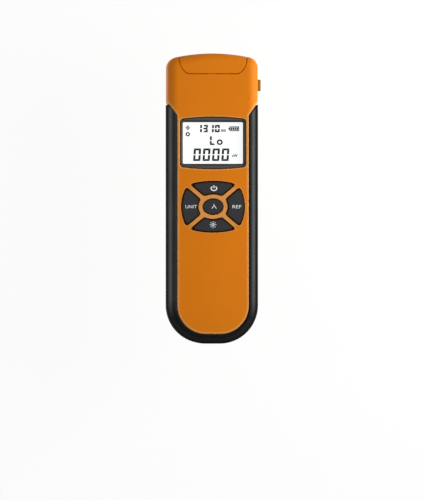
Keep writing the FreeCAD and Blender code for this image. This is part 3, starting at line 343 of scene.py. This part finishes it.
def lip_highlights(finish, pad, opening):
    """Where the tan highlight is painted: 1 on the soft edges by the grip, the bezel and the
    keys and on the webs, or else 0.
    """
    do, spread = finish.math, finish.spread
    height = finish.axes()["Z"]
    by_grip = do(
        "MULTIPLY",
        spread(from_grip(finish), 1.0, 0.0, *GRIP_LIP),
        spread(height, 0.0, 1.0, *LIP_RISE),
    )
    bezel_edge = from_bezel_edge(finish)
    by_bezel = spread(bezel_edge, 0.0, 1.0, -BEZEL_LIP - LIP_FADE, -BEZEL_LIP)
    by_keys = spread(opening, 0.0, 1.0, *KEY_LIP)
    on_webs = spread(pad, 0.0, WEB_SHARE, *WEB_LIP)
    by_openings = do("MAXIMUM", by_bezel, do("MAXIMUM", by_keys, on_webs))
    on_face = do("GREATER_THAN", height, FACE_Z - LIP_DEPTH)
    return do("MAXIMUM", by_grip, do("MULTIPLY", by_openings, on_face))


def front_orange():
    """The casing's orange: smoother lips with a painted tan highlight, and painted brown shade
    inside the outer keys' openings.
    """
    finish = moulded("orange_moulded_front", **ORANGE)
    base, rough = finish.linked("Base Color"), finish.linked("Roughness")
    pad, outer, opening = from_key_edges(finish)
    share = lip_highlights(finish, pad, opening)
    # A pale tan painted on the lips and webs stands in for the highlight on their rounded edges
    lip_highlight = finish.ramp(finish.noise(LIP_WAVES), *LIP_HIGHLIGHT_TAN)
    toned = finish.mix(finish.math("MULTIPLY", share, LIP_SHARE), base, lip_highlight)
    # Painted brown shade inside the outer keys' openings
    shadow = finish.spread(outer, 0.0, 1.0, *KEY_SHADOW)
    polish = finish.math("MULTIPLY", share, LIP_POLISH)
    finish.surface(
        Base_Color=finish.mix(shadow, toned, KEY_SHADE_BROWN),
        Roughness=finish.math("SUBTRACT", rough, polish),
    )
    return finish


def grip_rubber():
    """Black matt rubber, painted grey as a highlight and smoother along the crowns of its two
    rails.
    """
    rubber = dict(drift=0.1, rough=(0.85, 0.95), specular=0.03, grain=3800, depth=0.008)
    finish = moulded("black_grip_rubber", GRIP_BLACK, **rubber)
    base = finish.linked("Base Color")
    do, spread = finish.math, finish.spread
    x, y, _ = finish.axes()
    across = spread(from_edge(finish, GRIP_HALF, HIGHLIGHT_SHIFT), 0.0, 1.0, 0.0, RAIL_WIDTH)
    crown = finish.ramp(across, *HIGHLIGHT_ACROSS)
    sided = spread(x, HIGHLIGHT_LEFT, HIGHLIGHT_RIGHT, -WINDOW_HALF, WINDOW_HALF)
    above_tail = spread(y, HIGHLIGHT_TAIL, 1.0, *HIGHLIGHT_FADE_Y)
    patches = spread(finish.noise(HIGHLIGHT_WAVES, detail=3.0), *HIGHLIGHT_PATCHES)
    # Painted highlight: grey along each rail's crown, stronger on the left rail, faded at the
    # tail
    painted_highlight = do("MULTIPLY", do("MULTIPLY", crown, sided), do("MULTIPLY", above_tail, patches))
    finish.surface(
        Base_Color=finish.mix(painted_highlight, base, RAIL_HIGHLIGHT_GREY),
        Roughness=spread(painted_highlight, MATT_ROUGH, HIGHLIGHT_ROUGH, 0.0, 1.0),
    )
    return finish


def key_rubber():
    """Slate rubber on a key's top, with a painted dark brown shade along its rounded edge."""
    rubber = dict(drift=0.08, rough=(0.5, 0.6), specular=0.15, grain=3500, depth=0.008)
    finish = moulded("slate_key_rubber", KEY_SLATE, **rubber)
    base = finish.linked("Base Color")
    _, _, opening = from_key_edges(finish)
    # Painted shade along the key top's rounded edge
    shade_rim = finish.spread(opening, 1.0, 0.0, *KEY_SHADE_RIM)
    finish.surface(Base_Color=finish.mix(shade_rim, base, KEY_EDGE_SHADE))
    return finish


def display_bezel():
    """Dark frame with painted shade: brown along its outer edge, grey on top, near black down
    at the glass.
    """
    plastic = dict(drift=0.06, rough=(0.45, 0.55), specular=0.08)
    finish = moulded("grey_bezel_plastic", BEZEL_GREY, **plastic)
    base = finish.linked("Base Color")
    low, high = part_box("display_bezel")
    height = finish.spread(finish.axes()["Z"], 0.0, BEZEL_TOP, low.z, high.z)
    # Painted shade, darkening from the top down to the glass
    toned = finish.mix(BEZEL_SHADE_SHARE, base, finish.ramp(height, *BEZEL_SHADE_TONES))
    bezel_edge = from_bezel_edge(finish)
    # Painted brown shade along the outer edge
    shade_rim = finish.spread(bezel_edge, 1.0, 0.0, BEZEL_SHADE_REACH - LIP_FADE, BEZEL_SHADE_REACH)
    finish.surface(Base_Color=finish.mix(shade_rim, toned, BEZEL_RIM_SHADE))
    return finish


def green_board():
    """Solder resist over a maze of copper tracks."""
    finish = Finish("green_solder_resist", Roughness=0.28)
    inputs = {"Vector": finish.place((1, 1, 0.05)), "Scale": 420, "Randomness": 0.25}
    maze = finish.add("ShaderNodeTexVoronoi", inputs, feature="DISTANCE_TO_EDGE")
    cells = maze.outputs["Distance"]
    track, resist = (0.03, 0.2, 0.08), (0.008, 0.09, 0.035)
    track_end, resist_start = 0.05, 0.07
    colours = ((0.0, track), (track_end, track), (resist_start, resist))
    finish.surface(Base_Color=finish.ramp(cells, *colours))
    finish.relief(cells, depth=0.03 * MM, strength=0.4)
    return finish


def display_face():
    """Milky liquid-crystal glass, lit from behind."""
    finish = Finish("display_face", Roughness=0.35)
    finish.surface(
        Base_Color=finish.ramp(finish.noise(waves=90), *DISPLAY_GREY),
        Emission_Color=DISPLAY_LIT,
        Emission_Strength=DISPLAY_GLOW,
    )
    finish.relief(finish.noise(waves=6000, detail=1.0), depth=0.002 * MM)
    return finish


def clear_acrylic():
    """Clear window with a faint film of handling, and a black border printed round it."""
    finish = Finish("clear_acrylic", Base_Color=(0.02, 0.02, 0.02, 1.0), IOR=1.49)
    x, y, _ = finish.axes()
    do = finish.math
    beside = do("SUBTRACT", do("ABSOLUTE", x), GLASS_HALF_X)
    beyond = do("SUBTRACT", do("ABSOLUTE", do("SUBTRACT", y, DISPLAY_Y)), GLASS_HALF_Y)
    border = do("MAXIMUM", beside, beyond)
    finish.surface(
        Alpha=finish.spread(border, GLASS_FILM, 1.0, 0.0, BORDER_FADE),
        Roughness=finish.spread(finish.noise(waves=160, detail=4.0), low=0.03, high=0.09),
    )
    return finish


def battery_sleeve():
    """Printed sleeve with a broad band, and bare metal at both ends."""
    finish = Finish("battery_sleeve")
    low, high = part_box("battery_left")
    along = finish.spread(finish.axes()["Y"], 0.0, 1.0, low.y, high.y)
    sleeve, band, bare = (0.03, 0.034, 0.04), (0.45, 0.3, 0.12), (0.62, 0.61, 0.58)
    foot, waist, shoulder = 0.03, 0.74, 0.95
    colours = ((0.0, bare), (foot, sleeve), (waist, band), (shoulder, bare))
    metals = ((0.0, 1.0), (foot, 0.1), (shoulder, 1.0))
    finish.surface(
        Base_Color=finish.ramp(along, *colours, stepped=True),
        Metallic=finish.ramp(along, *metals, stepped=True),
        Roughness=finish.spread(finish.noise(waves=500), low=0.25, high=0.4),
    )
    return finish


button_orange = moulded(
    "dark_orange_button", (0.275, 0.13, 0.014), drift=0.05, rough=(0.4, 0.5), specular=0.04
)
black_plastic = moulded(
    "black_inner_plastic", (0.012, 0.012, 0.013), drift=0.1, rough=(0.45, 0.55), specular=0.3
)
seal_foam = moulded(
    "soft_seal_rubber",
    (0.05, 0.05, 0.052),
    drift=0.15,
    rough=(0.7, 0.8),
    specular=0.3,
    grain=1800,
    depth=0.03,
)
strip_rubber = moulded(
    "layered_connector_rubber",
    (0.2, 0.2, 0.21),
    drift=0.25,
    rough=(0.5, 0.6),
    specular=0.3,
    grain=2600,
)
light_guide = moulded(
    "frosted_light_guide", (0.78, 0.8, 0.8), drift=0.03, rough=(0.35, 0.45), specular=0.4
)
chip_resin = moulded(
    "chip_resin", (0.012, 0.012, 0.012), drift=0.2, rough=(0.4, 0.5), specular=0.3, grain=5200
)
screw_steel = metal("zinc_plated_steel", (0.55, 0.56, 0.58), rough=(0.25, 0.4))
spring_steel = metal(
    "rolled_spring_steel", (0.6, 0.6, 0.6), rough=(0.2, 0.32), streak=(1, 1, 0.1)
)
nickel_plate = metal(
    "nickel_plated_brass", (0.66, 0.64, 0.6), rough=(0.16, 0.28), streak=(1, 0.15, 1)
)
segment_ink = ink("display_segment_dark", (0.008, 0.0085, 0.009))
faint_ink = ink("display_segment_faint", (0.16, 0.17, 0.18))
key_ink = ink("white_key_ink", (0.8, 0.82, 0.84))

KEYS = ["key_power", "key_unit", "key_wavelength", "key_reference", "key_light"]
CONTACTS = ["contact_positive", "contact_negative", "contact_bridge"]
FINISHES = {
    front_orange(): ["front_shell"],
    moulded("orange_moulded_plastic", **ORANGE): ["rear_shell", "dust_cover", "battery_cover"],
    button_orange: ["release_button"],
    grip_rubber(): ["side_grip"],
    key_rubber(): KEYS,
    display_bezel(): ["display_bezel"],
    black_plastic: ["port_bulkhead"],
    seal_foam: ["cover_seal"],
    strip_rubber: ["display_connector"],
    light_guide: ["backlight"],
    chip_resin: ["processor_chip", "amplifier_chip"],
    screw_steel: ["case_screws", "board_screws", "cover_hinge_pin"],
    spring_steel: ["dome_contacts", "release_spring", *CONTACTS],
    nickel_plate: ["optical_adapter", "adapter_nut", "detector_can"],
    green_board(): ["main_board", "detector_board"],
    display_face(): ["display_cell"],
    clear_acrylic(): ["display_lens"],
    battery_sleeve(): ["battery_left", "battery_right"],
}

for finish, names in FINISHES.items():
    for name in names:
        nodes[name].data.materials.clear()
        nodes[name].data.materials.append(finish.material)


# ------------------------------------------------------------------ thin printed shapes

KEY_INK_THICK = 0.02 * MM
SEGMENT_THICK = 0.03 * MM


def repeated_marks():
    """A tree that repeats its mesh along a step, each copy turned further by turn."""
    tree = bpy.data.node_groups.new("repeated_marks", "GeometryNodeTree")

    def socket(name, way, kind):
        tree.interface.new_socket(name=name, in_out=way, socket_type=f"NodeSocket{kind}")

    socket("Geometry", "OUTPUT", "Geometry")
    socket("Mark", "INPUT", "Geometry")
    socket("Count", "INPUT", "Int")
    socket("Step", "INPUT", "Vector")
    socket("Turn", "INPUT", "Float")
    socket("Ink", "INPUT", "Material")
    first = tree.nodes.new("NodeGroupInput")
    last = tree.nodes.new("NodeGroupOutput")
    spots = tree.nodes.new("GeometryNodeMeshLine")
    spots.mode = "OFFSET"
    order = tree.nodes.new("GeometryNodeInputIndex")
    angle = tree.nodes.new("ShaderNodeMath")
    angle.operation = "MULTIPLY"
    turned = tree.nodes.new("ShaderNodeCombineXYZ")
    copies = tree.nodes.new("GeometryNodeInstanceOnPoints")
    real = tree.nodes.new("GeometryNodeRealizeInstances")
    inked = tree.nodes.new("GeometryNodeSetMaterial")
    for source, target in (
        (first.outputs["Count"], spots.inputs["Count"]),
        (first.outputs["Step"], spots.inputs["Offset"]),
        (order.outputs["Index"], angle.inputs[0]),
        (first.outputs["Turn"], angle.inputs[1]),
        (angle.outputs["Value"], turned.inputs["Z"]),
        (spots.outputs["Mesh"], copies.inputs["Points"]),
        (first.outputs["Mark"], copies.inputs["Instance"]),
        (turned.outputs["Vector"], copies.inputs["Rotation"]),
        (copies.outputs["Instances"], real.inputs["Geometry"]),
        (real.outputs["Geometry"], inked.inputs["Geometry"]),
        (first.outputs["Ink"], inked.inputs["Material"]),
        (inked.outputs["Geometry"], last.inputs["Geometry"]),
    ):
        tree.links.new(source, target)
    return tree


MARKS = repeated_marks()


def linked_object(name, data):
    piece = bpy.data.objects.new(name, data)
    bpy.context.scene.collection.objects.link(piece)
    return piece


def settle(piece, place, body):
    """Leaves a finished mark as a plain mesh in its place, riding on a body."""
    piece.data.transform(Matrix.Translation(place))
    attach(piece, body)


def raised(mesh, shape, thick):
    """Gives flat faces their thickness and writes them to the mesh."""
    tops = bmesh.ops.extrude_face_region(shape, geom=list(shape.faces))["geom"]
    upper = [part for part in tops if isinstance(part, bmesh.types.BMVert)]
    bmesh.ops.translate(shape, verts=upper, vec=(0, 0, thick))
    bmesh.ops.recalc_face_normals(shape, faces=list(shape.faces))
    shape.to_mesh(mesh)
    shape.free()


def mark(name, outlines, place, thick, finish, body, count=1, step=(0, 0, 0), turn=0.0):
    """Flat outlines in millimetres as thin plates on place, repeated count times."""
    shape = bmesh.new()
    for outline in outlines:
        shape.faces.new([shape.verts.new((x * MM, y * MM, 0)) for x, y in outline])
    mesh = bpy.data.meshes.new(name)
    raised(mesh, shape, thick)
    piece = linked_object(name, mesh)
    repeat = piece.modifiers.new("repeated", "NODES")
    repeat.node_group = MARKS
    values = {
        "Count": count,
        "Step": [length * MM for length in step],
        "Turn": math.radians(turn),
        "Ink": finish.material,
    }
    for socket in MARKS.interface.items_tree:
        if socket.name in values:
            repeat[socket.identifier] = values[socket.name]
    bpy.context.view_layer.update()
    evaluated = piece.evaluated_get(bpy.context.evaluated_depsgraph_get())
    whole = bpy.data.meshes.new_from_object(evaluated)
    piece.modifiers.clear()
    piece.data = whole
    settle(piece, place, body)


def words(name, text, width, height, place, thick, finish, body, weight=0.0):
    """Plain lettering of that width and height in millimetres, centred on place."""
    curve = bpy.data.curves.new(name, "FONT")
    curve.body = text
    curve.offset = weight
    sample = linked_object(name, curve)
    bpy.context.view_layer.update()
    mesh = bpy.data.meshes.new_from_object(sample)
    bpy.data.objects.remove(sample)
    low, high = (
        Vector([pick(corner.co[axis] for corner in mesh.vertices) for axis in range(3)])
        for pick in (min, max)
    )
    mesh.transform(Matrix.Translation(-(low + high) / 2))
    size = high - low
    mesh.transform(Matrix.Diagonal((width * MM / size.x, height * MM / size.y, 0, 1)))
    shape = bmesh.new()
    shape.from_mesh(mesh)
    raised(mesh, shape, thick)
    mesh.materials.clear()
    mesh.materials.append(finish.material)
    settle(linked_object(name, mesh), place, body)


def ring(centre, outer, inner, start=0, end=360, steps=24):
    """Four-sided outlines along an oval ring, from start to end in degrees."""
    angles = [math.radians(start + (end - start) * i / steps) for i in range(steps + 1)]

    def at(radii, angle):
        return centre[0] + radii[0] * math.cos(angle), centre[1] + radii[1] * math.sin(angle)

    return [
        [at(outer, one), at(outer, other), at(inner, other), at(inner, one)]
        for one, other in zip(angles, angles[1:])
    ]


def bar(x0, x1, y0, y1):
    """The outline of a rectangle."""
    return [(x0, y0), (x1, y0), (x1, y1), (x0, y1)]


# ------------------------------------------------------------------ display reading

# Seven-segment figures, in millimetres: STEM is how much thicker their upright strokes are,
# NUB_SPAN the share of a battery's height that its nub takes up
SEGMENTS_OF = {"0": "abcdef", "1": "bc", "3": "abcdg", "L": "def"}
SLANT = math.tan(math.radians(4))
UPRIGHT_SLANT = math.tan(math.radians(1.8))
CORNER_GAP = 0.05
WAIST_GAP = 0.19
STEM = 1.1
NUB_SPAN = (0.3, 0.7)
UNIT_WEIGHT = 0.03


def figure(character, x, y, width, height, thick, slant=UPRIGHT_SLANT):
    """Seven-segment outlines of one character, its lower left corner at (x, y)."""
    gap, middle, inner = CORNER_GAP, height / 2, CORNER_GAP + thick
    drawn = SEGMENTS_OF[character]
    waist = (thick + gap) / 2 if "g" in drawn else WAIST_GAP

    def turned_over(points):
        return [(px, height - py) for px, py in points]

    def turned_round(points):
        return [(width - px, py) for px, py in points]

    def side(cap):
        """The upper right segment, its end cut slanting where the segment cap meets it."""
        end = height - (inner if cap in drawn else gap)
        left, foot = width - thick * STEM, middle + waist
        return [(width, height - gap), (left, end), (left, foot), (width, foot)]

    low, tip, edge = height - thick, thick / 2, middle + thick / 2
    top = [(gap, height), (width - gap, height), (width - inner, low), (inner, low)]
    upper = [(gap, middle), (inner - tip, edge), (width - inner + tip, edge)]
    shapes = {
        "a": top,
        "b": side("a"),
        "c": turned_over(side("d")),
        "d": turned_over(top),
        "e": turned_round(turned_over(side("d"))),
        "f": turned_round(side("a")),
        "g": upper + turned_round(turned_over(upper)),
    }
    return [[(x + px + slant * py, y + py) for px, py in shapes[key]] for key in drawn]


def reading(text, x, y, pitch, **size):
    """The outlines of a row of characters, pitch apart."""
    return [
        outline
        for i, character in enumerate(text)
        for outline in figure(character, x + i * pitch, y, **size)
    ]


def battery_case(x, y, length, height, wall, nub):
    """A cell outline with its nub to the left."""
    left, right = x + nub, x + length
    low, high = NUB_SPAN
    return [
        bar(left, right, y, y + wall),
        bar(left, right, y + height - wall, y + height),
        bar(right - wall, right, y + wall, y + height - wall),
        bar(left, left + wall, y + wall, y + height - wall),
        bar(x, left, y + height * low, y + height * high),
    ]


def display_reading():
    """All that the display shows, in millimetres from the middle of the cell."""
    low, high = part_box("display_cell")
    centre = Vector(((low.x + high.x) / 2, (low.y + high.y) / 2, high.z))

    def show(name, outlines, finish=segment_ink, **repeat):
        mark(name, outlines, centre, SEGMENT_THICK, finish, HOUSING, **repeat)

    wavelength = reading("1310", -6.67, 4.5, pitch=2.5, width=2.1, height=3.15, thick=0.72)
    show("wavelength_reading", wavelength)
    low_power = figure("L", -1.28, -0.86, width=2.4, height=3.75, thick=0.74)
    low_power += ring((2.95, 0.36), outer=(1.27, 1.2), inner=(0.58, 0.52))
    show("low_power_reading", low_power)
    zero = figure("0", -8.3, -7.57, width=3.08, height=5.3, thick=0.84, slant=SLANT)
    show("power_reading", zero, count=4, step=(3.966, 0, 0))
    case = battery_case(6.6, 5.0, length=4.5, height=2.0, wall=0.34, nub=0.5)
    show("battery_state", case)
    show("battery_charge", [bar(7.6, 8.25, 5.45, 6.55)], count=4, step=(0.8, 0, 0))
    lamp, cycle = (-10.5, 6.4), (-10.5, 3.7)
    show("lamp_state", ring(lamp, (0.95, 1.1), (0.45, 0.5), steps=4), faint_ink)
    show("lamp_dot", ring(lamp, (0.25, 0.3), (0.01, 0.01), steps=8), faint_ink)
    show("cycle_state", ring(cycle, (0.95, 0.92), (0.42, 0.4)))
    for name, text, x, y, width, height in (
        ("wavelength_unit", "nm", 4.5, 5.2, 2.1, 1.1),
        ("power_unit", "nW", 9.35, -5.3, 2.3, 1.3),
    ):
        place = centre + Vector((x * MM, y * MM, 0))
        words(
            name, text, width, height, place, SEGMENT_THICK, segment_ink, HOUSING, UNIT_WEIGHT
        )


display_reading()


# ------------------------------------------------------------------ key marks

# The open ring of the power sign in degrees, and the two strokes of the wavelength sign
POWER_ARC = (122, 418)
LONG_STROKE = [
    (0.13, 1.1), (0.23, 0.5), (0.53, 0.08), (1.0, -0.4), (1.2, -0.78),
    (1.53, -0.78), (1.33, -0.34), (0.86, 0.14), (0.55, 0.54), (0.45, 1.1),
]
SHORT_STROKE = [
    (0.29, 0.4), (0.45, 0.18), (-0.1, -0.42), (-0.27, -0.78), (-0.6, -0.78), (-0.4, -0.28),
]
WORD_HEIGHT = 1.35


def key_face(node, x=0.0, y=0.0):
    """A point on a key's top face, measured from its middle in millimetres."""
    low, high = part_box(node)
    return Vector(((low.x + high.x) / 2 + x * MM, (low.y + high.y) / 2 + y * MM, high.z))


def key_marks():
    """The white signs and words on the five keys, in millimetres."""

    def print_on(node, name, outlines, x=0.0, y=0.0, **repeat):
        mark(name, outlines, key_face(node, x, y), KEY_INK_THICK, key_ink, node, **repeat)

    power = ring((0, 0), (1.42, 1.12), (0.95, 0.68), *POWER_ARC)
    power.append(bar(-0.22, 0.22, 0.1, 1.3))
    print_on("key_power", "power_mark", power, x=0.38, y=0.1)
    print_on("key_light", "lamp_mark", ring((0, 0), (0.62, 0.62), (0.3, 0.3)))
    print_on("key_light", "lamp_rays", [bar(0.9, 1.42, -0.13, 0.13)], count=8, turn=45)
    print_on("key_wavelength", "wavelength_mark", [LONG_STROKE, SHORT_STROKE])
    for node, name, text, x, width in (
        ("key_unit", "unit_mark", "UNIT", 0.05, 4.8),
        ("key_reference", "reference_mark", "REF", 0.75, 3.7),
    ):
        place = key_face(node, x)
        words(name, text, width, WORD_HEIGHT, place, KEY_INK_THICK, key_ink, node)


key_marks()


# ------------------------------------------------------------------ studio

VIEW_CENTRE = Vector((0.2 * MM, -21.7 * MM, FACE_Z))
VIEW_WIDTH = 179.5 * MM
CAMERA_DISTANCE = 4.0
CAMERA_LEAN = math.radians(2.6)
SENSOR = 36.0
FLOOR_HALF = 12.0
FLOOR_Z = -45.0 * MM
FLOOR_WHITE = (0.92, 0.92, 0.92, 1)
FLOOR_SHINE = 0.91
SKY_LEVEL = 0.345


def add_camera():
    """A far camera over the face, leaning a little to the left and VIEW_WIDTH wide there."""
    data = bpy.data.cameras.new("camera")
    data.sensor_fit = "HORIZONTAL"
    data.sensor_width = SENSOR
    data.lens = SENSOR * CAMERA_DISTANCE / VIEW_WIDTH
    camera = linked_object("camera", data)
    camera.rotation_euler = (0, -CAMERA_LEAN, 0)
    towards = Vector((-math.sin(CAMERA_LEAN), 0, math.cos(CAMERA_LEAN)))
    camera.location = VIEW_CENTRE + towards * CAMERA_DISTANCE
    bpy.context.scene.camera = camera


def add_softbox(name, direction, distance, size, level, colour=(1, 1, 1)):
    """A lamp aimed at the meter; level is the brightness it gives a white sheet facing it."""
    data = bpy.data.lights.new(name, "AREA")
    data.shape = "RECTANGLE"
    data.size, data.size_y = size
    data.energy = level * (math.pi * distance) ** 2
    data.color = colour
    lamp = linked_object(name, data)
    towards = Vector(direction).normalized()
    lamp.location = Vector((0, 0, FACE_Z)) + towards * distance
    lamp.rotation_euler = towards.to_track_quat("Z", "Y").to_euler()


def seen_directly(tree):
    """1 where the camera sees a surface itself, in a mirror or through glass."""
    path = tree.nodes.new("ShaderNodeLightPath")
    total = path.outputs["Is Camera Ray"]
    for name in ("Is Glossy Ray", "Is Transmission Ray"):
        either = tree.nodes.new("ShaderNodeMath")
        either.operation = "MAXIMUM"
        tree.links.new(total, either.inputs[0])
        tree.links.new(path.outputs[name], either.inputs[1])
        total = either.outputs["Value"]
    return total


def add_floor():
    """A pale sheet well below the held meter: it keeps its shadow and is open from beneath."""
    mesh = bpy.data.meshes.new("studio_floor")
    signs = ((-1, -1), (1, -1), (1, 1), (-1, 1))
    corners = [(x * FLOOR_HALF, y * FLOOR_HALF, FLOOR_Z) for x, y in signs]
    mesh.from_pydata(corners, [], [(0, 1, 2, 3)])
    floor = linked_object("studio_floor", mesh)
    finish = Finish(
        "studio_floor", Base_Color=FLOOR_WHITE, Roughness=1.0, Specular_IOR_Level=0.0
    )
    glow = finish.add("ShaderNodeEmission", {"Strength": 1.0})
    share = finish.math("MULTIPLY", seen_directly(finish.tree), FLOOR_SHINE)
    mixed = finish.add("ShaderNodeMixShader", {"Fac": share})
    finish.set(mixed, {1: finish.shader.outputs["BSDF"], 2: glow.outputs["Emission"]})
    beneath = finish.add("ShaderNodeNewGeometry").outputs["Backfacing"]
    open_below = finish.add("ShaderNodeMixShader", {"Fac": beneath, 1: mixed.outputs["Shader"]})
    finish.set(open_below, {2: finish.add("ShaderNodeBsdfTransparent").outputs["BSDF"]})
    output = finish.tree.nodes["Material Output"]
    finish.set(output, {"Surface": open_below.outputs["Shader"]})
    mesh.materials.append(finish.material)


def add_world(level):
    """White where it is seen, and even light of that level on everything."""
    world = bpy.data.worlds.new("studio")
    bpy.context.scene.world = world
    world.use_nodes = True
    tree = world.node_tree
    background = tree.nodes["Background"]
    background.inputs["Color"].default_value = (1, 1, 1, 1)
    strength = tree.nodes.new("ShaderNodeMapRange")
    strength.inputs["To Min"].default_value = level
    tree.links.new(seen_directly(tree), strength.inputs["Value"])
    tree.links.new(strength.outputs["Result"], background.inputs["Strength"])


add_camera()
add_softbox(
    "right_softbox",
    direction=(0.88, 0.2, 0.42),
    distance=0.28,
    size=(0.18, 0.3),
    level=1.6,
    colour=(1.0, 0.99, 0.965),
)
add_softbox(
    "left_strip", direction=(-0.94, 0.0, 0.34), distance=0.8, size=(0.1, 0.9), level=0.25
)
add_floor()
add_world(SKY_LEVEL)
bpy.context.scene.view_settings.view_transform = "Standard"
